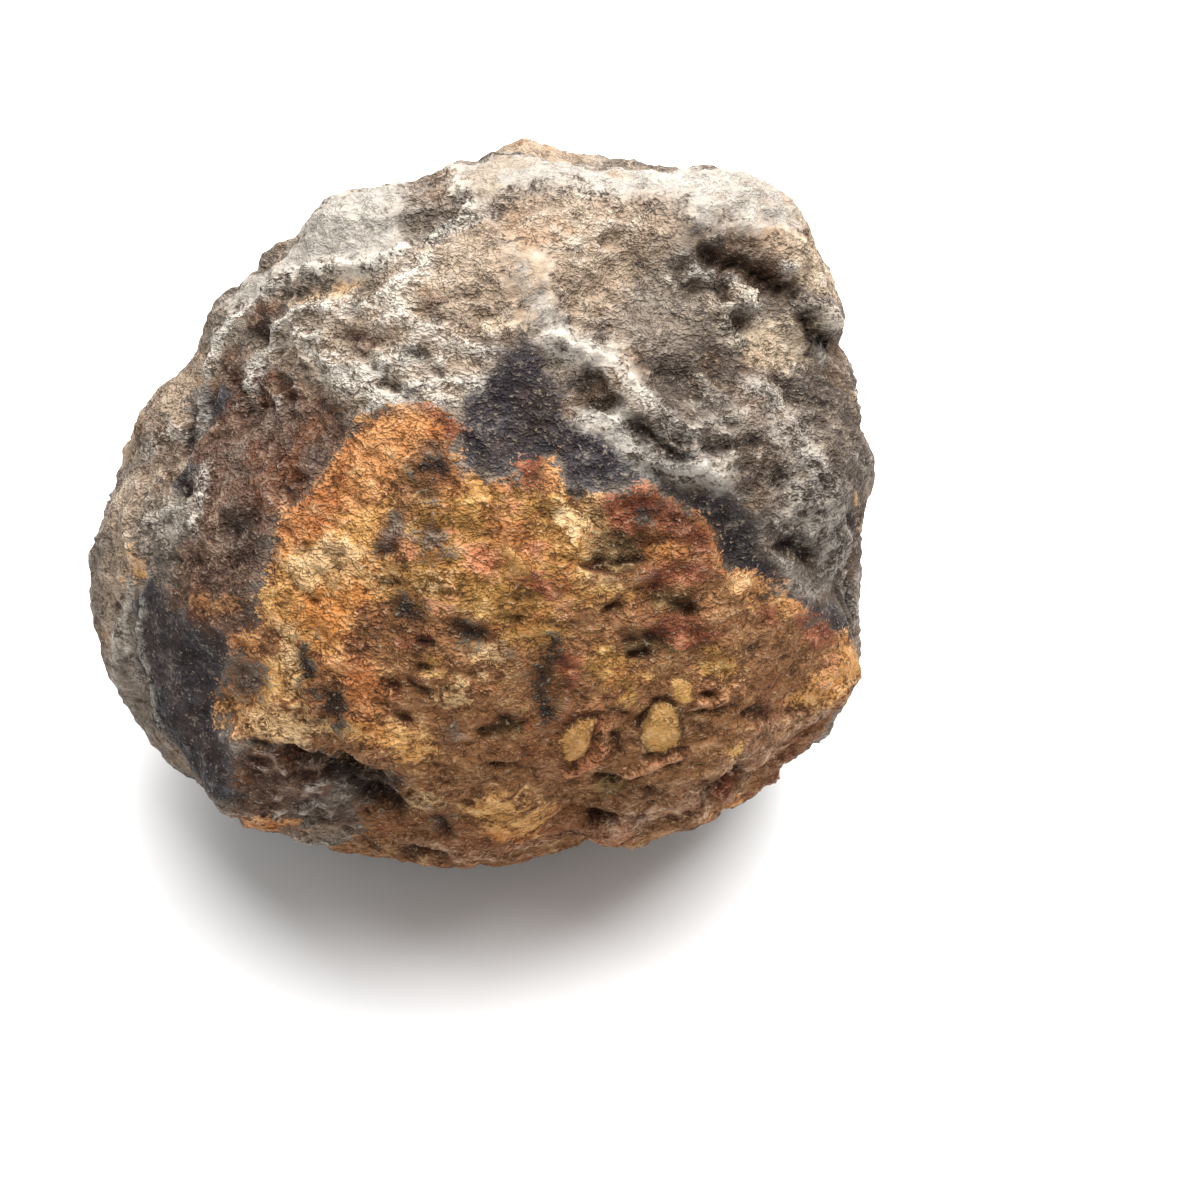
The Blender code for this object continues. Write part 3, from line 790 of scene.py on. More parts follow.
        ((618, 632), (656, 626), (704, 634), (696, 652), (660, 660), (624, 656)),
        ((420, 486), (438, 482), (442, 500), (424, 504)),
        ((420, 540), (446, 538), (450, 556), (424, 558)),
        ((494, 712), (520, 710), (526, 730), (506, 740), (488, 734)),
        ((600, 768), (624, 774), (628, 792), (600, 796)),
    ),
    # Red-brown flakes
    Mineral.RUST: (
        ((600, 506), (618, 492), (640, 487), (660, 498), (690, 514), (690, 526), (706, 534), (706, 550),
         (690, 552), (676, 540), (652, 530), (632, 536), (614, 526)),
        ((640, 580), (655, 567), (680, 561), (706, 565), (718, 580), (700, 588), (670, 583), (650, 589)),
        ((796, 618), (816, 614), (829, 626), (832, 642), (810, 646), (798, 632)),
        ((392, 628), (420, 626), (440, 632), (430, 650), (404, 652)),
        ((640, 620), (690, 618), (724, 632), (700, 646), (660, 644)),
        ((516, 462), (540, 458), (548, 480), (530, 492), (514, 482)),
        ((506, 578), (540, 574), (562, 584), (556, 600), (520, 598)),
        ((420, 405), (446, 404), (460, 424), (452, 440), (432, 430)),
        ((560, 722), (584, 706), (592, 714), (570, 736)),
        ((764, 600), (776, 608), (772, 624), (760, 616)),
        ((560, 650), (580, 656), (584, 690), (566, 700), (556, 676)),
        ((704, 796), (714, 782), (736, 772), (740, 780), (722, 798)),
    ),
    # Small flakes
    Mineral.FLESH: (
        ((462, 546), (480, 538), (500, 546), (506, 566), (494, 580), (468, 572)),
        ((400, 540), (414, 540), (420, 556), (404, 562)),
        ((444, 600), (440, 590), (460, 580), (462, 598)),
        ((500, 480), (512, 482), (514, 500), (502, 502)),
        ((514, 544), (530, 538), (548, 544), (540, 558), (522, 556)),
        ((440, 520), (456, 524), (460, 540), (444, 538)),
        ((426, 600), (446, 604), (456, 616), (430, 616)),
        ((490, 504), (520, 500), (524, 512), (496, 514)),
        ((556, 604), (568, 600), (572, 618), (558, 620)),
        ((694, 682), (716, 680), (728, 702), (714, 711), (698, 706)),
        ((735, 684), (744, 684), (746, 694), (736, 694)),
        ((822, 656), (836, 652), (838, 670), (826, 672)),
        ((806, 690), (820, 678), (824, 682), (810, 696)),
    ),
    # Pebbles, chips and the glossy corner
    Mineral.CREAM: (
        ((656, 702), (666, 700), (680, 714), (682, 747), (662, 753), (646, 749), (639, 735), (642, 720)),
        ((560, 737), (576, 720), (599, 714), (594, 733), (589, 750), (572, 765), (560, 757)),
        ((670, 678), (691, 682), (691, 702), (680, 707), (670, 698)),
        ((500, 542), (514, 546), (530, 568), (518, 572), (506, 560)),
        ((468, 480), (484, 478), (496, 496), (490, 502), (472, 494)),
        ((842, 642), (852, 648), (858, 664), (850, 676), (844, 660)),
        ((724, 750), (744, 738), (740, 752), (728, 758)),
    ),
    # Stains on the flank and in the ochre, and painted shadow in the cleft under the cap
    Mineral.SLATE: (
        ((236, 400), (262, 396), (296, 404), (300, 430), (280, 460), (256, 440)),
        ((300, 440), (322, 436), (326, 466), (308, 480), (298, 464)),
        ((220, 440), (248, 440), (252, 474), (226, 482)),
        ((220, 508), (250, 504), (266, 520), (256, 556), (236, 552), (218, 536)),
        ((234, 662), (258, 660), (264, 672), (260, 698), (244, 702), (232, 694)),
        ((418, 520), (436, 518), (448, 536), (444, 554), (426, 552), (418, 538)),
        ((430, 498), (440, 500), (442, 518), (432, 516)),
        ((378, 528), (390, 508), (402, 508), (398, 540), (384, 556), (374, 548)),
        ((302, 806), (330, 802), (352, 808), (350, 826), (322, 832), (302, 826)),
        ((342, 778), (366, 782), (400, 776), (404, 792), (396, 812), (372, 808), (350, 796)),
        ((444, 716), (454, 714), (456, 728), (448, 744)),
        ((500, 646), (514, 646), (518, 662), (504, 662)),
        ((420, 440), (440, 436), (444, 454), (424, 458)),
        ((258, 526), (268, 530), (270, 560), (260, 566), (254, 548)),
        ((432, 812), (452, 816), (452, 834), (436, 832)),
        # Painted shadow in the cleft under the overhanging cap
        ((704, 252), (720, 262), (746, 264), (776, 276), (804, 296), (790, 306), (768, 292), (748, 282),
         (722, 284), (724, 302), (718, 290), (716, 268)),
    ),
    # Black spots in the ochre
    Mineral.SOOT: (
        ((404, 466), (420, 456), (452, 456), (454, 476), (436, 482), (408, 478)),
        ((392, 604), (404, 596), (414, 604), (424, 620), (410, 624), (394, 620)),
        ((366, 622), (386, 622), (388, 634), (370, 636)),
        ((444, 622), (466, 620), (488, 632), (482, 642), (456, 640)),
        ((414, 636), (430, 634), (436, 646), (420, 648)),
        ((560, 640), (552, 652), (536, 664), (530, 684), (546, 690), (548, 712), (558, 700), (548, 672),
         (562, 656)),
        ((296, 644), (306, 642), (310, 660), (312, 684), (300, 680)),
        ((300, 690), (322, 682), (344, 684), (346, 712), (338, 734), (328, 720), (320, 700)),
        ((630, 506), (644, 504), (650, 520), (638, 524)),
    ),
}

# The narrow bands: the rim of the ochre, the layers under the right edge, and thin streaks
BANDS = (
    Patch(Mineral.SAND, ((710, 300), (722, 312), (730, 326), (738, 342)), 1.1),
    Patch(Mineral.ORANGE, ((688, 526), (708, 534), (712, 552), (727, 574), (754, 584), (785, 594),
          (800, 612)), 1.5),
    Patch(Mineral.LILAC, ((852, 690), (820, 720), (785, 740), (752, 764)), 2.6),
    Patch(Mineral.LILAC, ((700, 800), (660, 814), (620, 824), (580, 836)), 2.2),
    Patch(Mineral.LILAC, ((440, 846), (500, 854), (540, 850)), 1.0),
    Patch(Mineral.FLESH, ((627, 774), (642, 770), (660, 762), (677, 757)), 1.3),
    Patch(Mineral.FLESH, ((574, 770), (592, 758), (604, 738), (602, 722)), 1.5),
    Patch(Mineral.FLESH, ((586, 706), (601, 704), (599, 712)), 0.9),
    Patch(Mineral.FLESH, ((860, 668), (852, 686), (838, 700)), 0.9),
    Patch(Mineral.CREAM, ((857, 494), (858, 503)), 0.7),
    Patch(Mineral.SOOT, ((553, 644), (538, 664), (534, 684), (545, 700), (547, 716)), 1.1),
)

PATCHES = BANDS + tuple(Patch(mineral, path) for mineral, paths in OUTLINES.items() for path in paths)


class Texture:
    """Seeded noise fields over points in millimetres."""

    @staticmethod
    def cloud(points: Array, wave: float, seed: float, octaves: int = 3, rough: float = 1.0) -> Array:
        """Returns soft fractal noise, mostly between -0.6 and 0.6.

        Args:
            points: The points, one a row.
            wave: The longest wavelength.
            seed: Moves the field.
            octaves: How many wavelengths, each half the one before.
            rough: The lower, the stronger the short waves.
        """
        moved = points / wave + seed
        return np.array([noise.fractal(point, rough, 2.0, octaves) for point in moved])

    @staticmethod
    def crests(points: Array, wave: float, seed: float, octaves: int = 4) -> Array:
        """Returns ridged noise from 0 in the hollows to about 1 on thin crests.

        Args:
            points: The points, one a row.
            wave: The longest wavelength.
            seed: Moves the field.
            octaves: How many wavelengths, each half the one before.
        """
        moved = points / wave + seed
        raised = [noise.ridged_multi_fractal(point, 0.9, 2.1, octaves, 1.0, 2.0) for point in moved]
        return np.clip((np.array(raised) - 0.6) / 1.6, 0, 1.2)

    @staticmethod
    def cells(points: Array, wave: float, seed: float) -> tuple[Array, Array]:
        """Returns the distance to the nearest cell middle and to the cell's border, in wavelengths.

        Args:
            points: The points, one a row.
            wave: The cells' size.
            seed: Moves the field.
        """
        moved = points / wave + seed
        found = np.array([noise.voronoi(point)[0][:2] for point in moved])
        return found[:, 0], found[:, 1] - found[:, 0]


@dataclass
class StoneSurface:
    """The fine mesh of the stone's surface.

    Attributes:
        form: The rounded solid.
        grid: Squares along each side of the cube that is blown up into the stone.
        near_bias: How much finer the near side's squares are than the far side's.
        foot_mm: Over what height above the flat spot the relief fades in.
    """

    form: SolidForm
    grid: int = 126
    near_bias: float = 0.35
    foot_mm: float = 2.5

    def lay_grid(self) -> tuple[Array, Array]:
        """Blows a cube's grid up to unit directions.

        Returns:
            The directions, and the squares' corner numbers.
        """
        ball = bmesh.new()
        bmesh.ops.create_cube(ball, size=2.0)
        bmesh.ops.subdivide_edges(ball, edges=ball.edges[:], cuts=self.grid - 1, use_grid_fill=True)
        cube = np.array([vert.co[:] for vert in ball.verts])
        squares = np.array([[vert.index for vert in face.verts] for face in ball.faces])
        ball.free()
        even = np.tan(cube * (math.pi / 4))
        directions = even / np.linalg.norm(even, axis=1)[:, None]
        toward_eye = np.array(self.form.view.eye_mm) - self.form.heart
        directions += self.near_bias * toward_eye / np.linalg.norm(toward_eye)
        return directions / np.linalg.norm(directions, axis=1)[:, None], squares

    def build_mesh(self) -> bpy.types.Mesh:
        """Makes the mesh of the rounded solid, in millimetres from the heart."""
        directions, squares = self.lay_grid()
        points = directions * self.form.radii(directions)[:, None]
        mesh = bpy.data.meshes.new("geode stone")
        mesh.from_pydata(points.tolist(), [], squares.tolist())
        mesh.shade_smooth()
        return mesh


@dataclass
class Relief:
    """The weathered relief over the rounded solid.

    Attributes:
        form: The rounded solid, which places the marks.
        marks: The single forms.
        patches: The mineral patches.
    """

    DUST_AND_SHEEN_REACH = 1.3  # how far a mark's pale lip spreads, in the mark's widths
    WANDER_MM = 18.0  # how far the far side's outlines stray, as a factor of the noise
    OCHRE_EDGE = (-0.8, 1.2)  # how deep in the mineral its relief begins and is whole
    CHARCOAL_EDGE = (-2.0, 2.0)
    CREAM_EDGE = (-0.3, 0.6)
    CREAM_SMOOTHNESS = 0.75  # the share of the relief that the pebbles lack

    form: SolidForm
    marks: tuple[Mark, ...]
    patches: tuple[Patch, ...]

    def corners(self, spots: tuple[Spot, ...]) -> Array:
        """Returns the spots' points, from the heart."""
        return np.array([self.form.point(spot) for spot in spots]) - self.form.heart

    def mineral_distances(self, points: Array) -> dict[Mineral, Array]:
        """Measures how deep in each mineral's patches the points are.

        Args:
            points: The points, from the heart, one a row.

        Returns:
            For each mineral the distance to its patches' edge, negative outside them.
        """
        found = {mineral: np.full(len(points), LocalMap.FAR) for mineral in Mineral}
        wander = self.WANDER_MM * Texture.cloud(points, wave=17.0, seed=5.9, octaves=4, rough=0.7)
        for patch in self.patches:
            corners = self.corners(patch.outline)
            if patch.half_width:
                depth = patch.half_width - distance_to_path(points, corners)
            else:
                depth = LocalMap(corners).inside(points)
            if isinstance(patch.outline[0], Place):
                depth = depth + wander
            found[patch.mineral] = np.maximum(found[patch.mineral], depth)
        return found

    def mark_layers(self, points: Array) -> tuple[Array, Array, Array]:
        """Adds up the single forms.

        Args:
            points: The points, from the heart, one a row.

        Returns:
            The height, the bloom and the shade of the marks at each point.
        """
        height, bloom, shade = (np.zeros(len(points)) for _ in range(3))
        ragged = 1 + 0.5 * Texture.cloud(points, wave=3.0, seed=4.7, octaves=2)
        for mark in self.marks:
            distance = distance_to_path(points, self.corners(mark.path)) * ragged
            share = mark.share(distance)
            height += mark.height * share
            lip = np.exp(-((distance / (self.DUST_AND_SHEEN_REACH * mark.width)) ** 2))
            # A mark's pale lip is dust and, on a crest, a painted sheen.
            bloom = np.maximum(bloom, mark.bloom * lip)
            shade = np.maximum(shade, mark.shade * np.exp(-((distance / mark.width) ** 2)))
        return height, bloom, shade

    @staticmethod
    def crust_height(points: Array) -> Array:
        """Returns the knobs, the network of crests and the small pits of the grey-brown crust."""
        level = points * np.array((0.65, 0.65, 1.0))
        knobs = 0.8 * Texture.cloud(points, wave=11.0, seed=1.3, octaves=3, rough=0.9)
        wrinkles = 0.6 * (Texture.crests(level, wave=5.5, seed=7.1) - 0.5)
        bent = level + 0.9 * Texture.cloud(points, wave=3.0, seed=2.6, octaves=2)[:, None]
        middle, border = Texture.cells(bent, wave=3.6, seed=3.4)
        webbed = smooth_step(Texture.cloud(points, wave=18.0, seed=9.0, octaves=2), -0.2, 0.3)
        web = 0.75 * np.exp(-((border / 0.16) ** 2)) * webbed
        pits = -0.7 * np.exp(-((middle / 0.35) ** 2)) * webbed
        grain = 0.45 * Texture.cloud(level, wave=1.8, seed=5.5, octaves=2, rough=0.4)
        return knobs + wrinkles + web + pits + grain

    @staticmethod
    def ochre_height(points: Array) -> Array:
        """Returns the crumbs and small holes of the ochre face, which run level."""
        level = points * np.array((0.6, 0.6, 1.1))
        swell = 0.6 * Texture.cloud(points, wave=12.0, seed=2.2, octaves=3, rough=1.0)
        _, border = Texture.cells(level, wave=4.0, seed=6.1)
        crumbs = 0.35 * smooth_step(border, 0.0, 0.3) - 0.2
        middle, _ = Texture.cells(level, wave=2.6, seed=8.3)
        holed = smooth_step(Texture.cloud(points, wave=12.0, seed=4.0, octaves=2), 0.05, 0.3)
        holes = -1.0 * np.exp(-((middle / 0.28) ** 2)) * holed
        grain = 0.45 * Texture.cloud(level, wave=2.2, seed=3.5, octaves=3, rough=0.5)
        return swell + crumbs + holes + grain

    @staticmethod
    def charcoal_height(points: Array) -> Array:
        """Returns the low, fine-pored relief of the charcoal."""
        level = points * np.array((0.6, 0.6, 1.0))
        swell = 0.6 * Texture.cloud(points, wave=9.0, seed=12.2, octaves=3, rough=0.9)
        grain = 0.35 * Texture.cloud(level, wave=2.2, seed=13.5, octaves=2, rough=0.5)
        return swell + grain

    def heights(self, points: Array, minerals: dict[Mineral, Array]) -> tuple[Array, Array, Array]:
        """Works out the whole relief.

        Args:
            points: The points, from the heart, one a row.
            minerals: How deep in each mineral they are.

        Returns:
            The relief's height, the bloom and the shade at each point.
        """
        ochre = smooth_step(minerals[Mineral.OCHRE], *self.OCHRE_EDGE)
        charcoal = smooth_step(minerals[Mineral.CHARCOAL], *self.CHARCOAL_EDGE) * (1 - ochre)
        crust = 1 - ochre - charcoal
        height = crust * self.crust_height(points)
        height += ochre * self.ochre_height(points) + charcoal * self.charcoal_height(points)
        smooth = smooth_step(minerals[Mineral.CREAM], *self.CREAM_EDGE)
        height *= 1 - self.CREAM_SMOOTHNESS * smooth
        marked, bloom, shade = self.mark_layers(points)
        return height + marked, bloom, shade


class Board:
    """Lays nodes on one node tree and wires them up."""

    MIX_SOCKETS = (0, 6, 7)  # a colour mix's share, first and second colour
    MIX_RESULT = 2

    def __init__(self, tree: Tree) -> None:
        """Takes the tree to work on."""
        self.tree = tree

    def feed(self, socket: Socket, value: object) -> None:
        """Wires a socket to another one, or sets its own value."""
        if isinstance(value, Socket):
            self.tree.links.new(value, socket)
        else:
            socket.default_value = value

    def add(self, kind: str, values: dict[str | int, object] | None = None, **settings: object) -> Node:
        """Adds a node.

        Args:
            kind: The node's type name.
            values: What feeds its inputs, by name or number.
            settings: Its other settings.

        Returns:
            The node.
        """
        node = self.tree.nodes.new(kind)
        for name, setting in settings.items():
            setattr(node, name, setting)
        for name, value in (values or {}).items():
            self.feed(node.inputs[name], value)
        return node

    def math(self, operation: str, *values: object, clamp: bool = False) -> Socket:
        """Does a sum on up to three values."""
        node = self.add("ShaderNodeMath", dict(enumerate(values)), operation=operation, use_clamp=clamp)
        return node.outputs[0]

    def step(self, value: object, low: object, high: object, start: float = 0.0,
             end: float = 1.0) -> Socket:
        """Goes smoothly from start to end as the value goes from low to high."""
        node = self.add("ShaderNodeMapRange", {0: value, 1: low, 2: high, 3: start, 4: end},
                        interpolation_type="SMOOTHSTEP")
        return node.outputs[0]

    def mix(self, share: object, first: object, second: object, blend: str = "MIX") -> Socket:
        """Mixes two colours."""
        values = dict(zip(self.MIX_SOCKETS, (share, first, second)))
        node = self.add("ShaderNodeMix", values, data_type="RGBA", blend_type=blend)
        return node.outputs[self.MIX_RESULT]

    def stone_coords(self) -> Socket:
        """Returns the place on the stone in millimetres."""
        coords = self.add("ShaderNodeTexCoord")
        scaled = self.add("ShaderNodeVectorMath", {0: coords.outputs["Object"]}, operation="SCALE")
        scaled.inputs["Scale"].default_value = 1 / MM
        return scaled.outputs[0]

    def noise(self, coords: object, scale: object, detail: float, rough: float = 0.6,
              warp: float = 0.0) -> Socket:
        """Returns fractal noise from 0 to 1."""
        node = self.add("ShaderNodeTexNoise", {"Vector": coords, "Scale": scale, "Detail": detail,
                                               "Roughness": rough, "Distortion": warp})
        return node.outputs["Fac"]

    def attribute(self, name: str) -> Socket:
        """Returns a value that the mesh's points carry."""
        return self.add("ShaderNodeAttribute", attribute_name=name).outputs["Fac"]


class GroupMaker:
    """Makes a shader node group with named inputs and outputs."""

    def __init__(self, name: str) -> None:
        """Starts an empty group."""
        self.group = bpy.data.node_groups.new(name, "ShaderNodeTree")
        self.board = Board(self.group)

    def takes(self, kind: str, **inputs: object) -> Node:
        """Gives the group its inputs.

        Args:
            kind: Float or Color.
            inputs: Each input's name and starting value.

        Returns:
            The node that the inputs come out of.
        """
        for name, value in inputs.items():
            socket = self.group.interface.new_socket(name.replace("_", " "), in_out="INPUT",
                                                     socket_type=f"NodeSocket{kind}")
            socket.default_value = value
        return self.board.add("NodeGroupInput")

    def gives(self, kind: str, name: str, value: Socket) -> Tree:
        """Gives the group an output and returns the group."""
        self.group.interface.new_socket(name, in_out="OUTPUT", socket_type=f"NodeSocket{kind}")
        outputs = [node for node in self.group.nodes if node.bl_idname == "NodeGroupOutput"]
        output = outputs[0] if outputs else self.board.add("NodeGroupOutput")
        self.board.feed(output.inputs[name], value)
        return self.group


class Effects:
    """The shader node groups that the finishes share."""

    def __init__(self) -> None:
        """Builds each group once."""
        self.fields = self._fields()
        self.ragged_edge = self._ragged_edge()
        self.mottle = self._mottle()

    @staticmethod
    def _level_coords(board: Board, level: object) -> Socket:
        """Returns the stone's coordinates drawn out level, as bedding is."""
        parts = board.add("ShaderNodeSeparateXYZ", {0: board.stone_coords()})
        across = [board.math("DIVIDE", parts.outputs[axis], level) for axis in (0, 1)]
        drawn = board.add("ShaderNodeCombineXYZ", {0: across[0], 1: across[1], 2: parts.outputs[2]})
        return drawn.outputs[0]

    def _fields(self) -> Tree:
        """Gives the noise fields that the whole stone is textured with."""
        maker = GroupMaker("stone fields")
        board = maker.board
        given = maker.takes("Float", Grain_Size=0.5, Blotch_Size=6.0, Level=1.5)
        coords = self._level_coords(board, given.outputs["Level"])
        grain = board.math("DIVIDE", 1.0, given.outputs["Grain Size"])
        blotch = board.math("DIVIDE", 1.0, given.outputs["Blotch Size"])
        fine = board.noise(coords, grain, detail=1.0, rough=0.75)
        closer = board.math("MULTIPLY", grain, 0.22)
        close = board.noise(coords, closer, detail=2.6, rough=0.6, warp=0.4)
        folded = board.math("MULTIPLY", grain, 0.4)
        fold = board.noise(coords, folded, detail=2.0, rough=0.6, warp=0.8)
        crack = board.step(board.math("ABSOLUTE", board.math("SUBTRACT", fold, 0.48)), 0.045, 0.01)
        height = board.math("MULTIPLY_ADD", board.math("SUBTRACT", fine, 0.5), 0.6, 0.5)
        height = board.math("MULTIPLY_ADD", board.math("SUBTRACT", close, 0.5), 1.0, height)
        height = board.math("MULTIPLY_ADD", crack, -0.14, height)
        maker.gives("Float", "Height", height)
        maker.gives("Float", "Cracks", board.math("MULTIPLY", crack, board.step(close, 0.62, 0.42)))
        # Painted glints: the upper tail of the finest grain.
        maker.gives("Float", "Glints", board.step(fine, 0.6, 0.72))
        maker.gives("Float", "Close", close)
        broad = board.noise(coords, blotch, detail=4.5, rough=0.6, warp=0.5)
        maker.gives("Float", "Broad", broad)
        wide = board.math("MULTIPLY", blotch, 0.5)
        stain = board.step(board.noise(coords, wide, detail=4.0, rough=0.66), 0.5, 0.62)
        maker.gives("Float", "Stained", stain)
        frayed = board.math("MULTIPLY", blotch, 1.3)
        wander = board.noise(coords, frayed, detail=4.0, rough=0.68, warp=0.2)
        return maker.gives("Float", "Wander", wander)

    @staticmethod
    def _ragged_edge() -> Tree:
        """Turns a distance to an edge into a mask that wanders, and crumbles at its border."""
        maker = GroupMaker("ragged edge")
        board = maker.board
        given = maker.takes("Float", Distance=0.0, Wander=0.5, Grain=0.5, Wobble=1.5, Break=2.0,
                            Softness=0.35)
        distance = given.outputs["Distance"]
        for field, reach in (("Wander", "Wobble"), ("Grain", "Break")):
            off = board.math("MULTIPLY_ADD", given.outputs[field], 4.0, -2.0)
            distance = board.math("MULTIPLY_ADD", off, given.outputs[reach], distance)
        soft = given.outputs["Softness"]
        return maker.gives("Float", "Mask", board.step(distance, board.math("MULTIPLY", soft, -1.0), soft))

    @staticmethod
    def _mottle() -> Tree:
        """Mixes a mineral's dark, middle and pale colours and its stain in soft blotches."""
        maker = GroupMaker("mineral mottle")
        board = maker.board
        black = (0.0, 0.0, 0.0, 1.0)
        maker.takes("Color", Dark=black, Middle=black, Pale=black, Stain=black)
        given = maker.takes("Float", Blotch=0.5, Close=0.5, Stained=0.0, Contrast=1.0)
        broad = board.math("MULTIPLY_ADD", given.outputs["Blotch"], 1.6, -0.8)
        both = board.math("MULTIPLY_ADD", given.outputs["Close"], 0.8, board.math("SUBTRACT", broad, 0.4))
        tone = board.math("MULTIPLY", both, given.outputs["Contrast"])
        stained = given.outputs["Stained"]
        middle = board.mix(board.math("MULTIPLY", stained, 0.85), given.outputs["Middle"],
                           given.outputs["Stain"])
        pale = board.mix(board.math("MULTIPLY", stained, 0.5), given.outputs["Pale"],
                         given.outputs["Stain"])
        colour = board.mix(board.step(tone, -0.05, 0.5), middle, pale)
        dark = board.step(tone, -0.04, -0.6)
        return maker.gives("Color", "Colour", board.mix(dark, colour, given.outputs["Dark"]))


@dataclass(frozen=True)
class Finish:
    """How one mineral looks.

    Attributes:
        dark: Its colour in the dark blotches.
        middle: Its usual colour.
        pale: Its colour in the pale blotches.
        stain: The colour of its broad stains.
        contrast: How strongly it is mottled.
        wobble: How far its edge wanders.
        broken: How far its edge is broken up along the grain.
        softness: How soft its edge is.
        close: Whether its blotches are small ones.
    """

    dark: Screen
    middle: Screen
    pale: Screen
    stain: Screen
    contrast: float = 1.0
    wobble: float = 1.4
    broken: float = 2.2
    softness: float = 0.7
    close: bool = False


CRUST = Finish((72, 62, 55), (114, 102, 91), (156, 145, 133), (118, 96, 77), 0.8)
FINISHES = {
    # Pale crust; on the top and along the crests it also stands in for sheen and light.
    Mineral.PALE_AND_SHEEN: Finish(
        (122, 112, 103), (153, 146, 137), (175, 171, 163), (150, 135, 118), 0.55, 2.6, 2.0, 2.6
    ),
    Mineral.BUFF: Finish(
        (108, 89, 72), (147, 128, 109), (182, 167, 150), (146, 115, 88), 0.75, 2.6, 2.0, 2.6
    ),
    Mineral.BROWN: Finish((42, 33, 28), (80, 69, 61), (124, 111, 99), (94, 74, 58), 0.8, 2.6, 2.0, 1.8),
    Mineral.UMBER: Finish(
        (42, 31, 27), (88, 66, 54), (128, 103, 86), (102, 64, 42), 0.8, 2.0, 2.0, 1.2, close=True
    ),
    Mineral.SAND: Finish(
        (128, 110, 88), (162, 144, 122), (186, 170, 148), (156, 132, 104), 0.6, 1.0, 1.4, 1.0, close=True
    ),
    Mineral.CHARCOAL: Finish((22, 19, 21), (51, 46, 48), (94, 90, 93), (57, 46, 43), 0.75, 1.6, 1.6, 1.0),
    Mineral.OCHRE: Finish(
        (80, 50, 30), (124, 85, 54), (160, 119, 79), (120, 75, 46), 0.65, 1.2, 1.6, 0.5, close=True
    ),
    Mineral.HONEY: Finish(
        (128, 80, 38), (178, 130, 75), (214, 172, 112), (168, 106, 54), 0.65, 2.4, 2.0, 1.4, close=True
    ),
    Mineral.ORANGE: Finish(
        (110, 62, 32), (174, 120, 73), (212, 168, 117), (150, 88, 48), 0.65, 1.6, 1.8, 0.8, close=True
    ),
    Mineral.YELLOW: Finish(
        (80, 52, 24), (142, 102, 54), (194, 154, 92), (148, 94, 54), 0.8, 2.2, 2.0, 1.0, close=True
    ),
    Mineral.TAN: Finish(
        (134, 100, 62), (180, 146, 104), (212, 184, 140), (172, 128, 80), 0.65, 1.8, 2.0, 1.2
    ),
    Mineral.OLIVE: Finish(
        (48, 34, 21), (92, 70, 44), (142, 110, 66), (100, 66, 36), 0.9, 0.9, 1.8, 0.9, close=True
    ),
    Mineral.RUST: Finish(
        (54, 26, 16), (110, 60, 39), (166, 102, 68), (92, 50, 34), 0.75, 1.8, 1.8, 0.8, close=True
    ),
    Mineral.LILAC: Finish(
        (88, 58, 42), (144, 104, 76), (184, 150, 122), (140, 90, 58), 0.75, 1.2, 1.6, 0.8, close=True
    ),
    Mineral.FLESH: Finish(
        (118, 72, 46), (164, 112, 76), (192, 142, 102), (158, 96, 62), 0.7, 0.9, 1.4, 0.6
    ),
    Mineral.CREAM: Finish(
        (122, 84, 43), (164, 123, 70), (190, 153, 98), (166, 118, 66), 0.7, 0.35, 0.5, 0.3
    ),
    Mineral.SLATE: Finish((40, 31, 28), (86, 70, 61), (124, 106, 94), (92, 64, 48), 0.8, 1.6, 2.0, 1.4),
    Mineral.SOOT: Finish((14, 10, 10), (31, 24, 22), (60, 48, 42), (44, 30, 22), 0.8, 1.4, 1.8, 1.2),
}


# Pale dust on the crests, which also stands in for their sheen as a painted highlight.
DUST_AND_SHEEN = linear((198, 191, 180))  # on the crests
# Painted shade: the hollows of the relief are multiplied by it.
HOLLOW_SHADE_TINT = linear((150, 118, 98))  # what the hollows are multiplied by
# Painted shade in the cracks, pits, grooves and the cleft, and dark dirt on a few soot spots.
SHADE_AND_DIRT = linear((18, 13, 12))  # in the cracks and pits
# Painted highlight on the tops of the grains and on small glints.
GRAIN_HIGHLIGHT = linear((250, 226, 190))  # on the tops of the grains
# Painted shade in the pores and fine cracks between the grains.
GRAIN_SHADE = linear((20, 14, 10))  # between the grains
SHEET_TONES = (linear((238, 238, 238)), linear((244, 244, 243)))


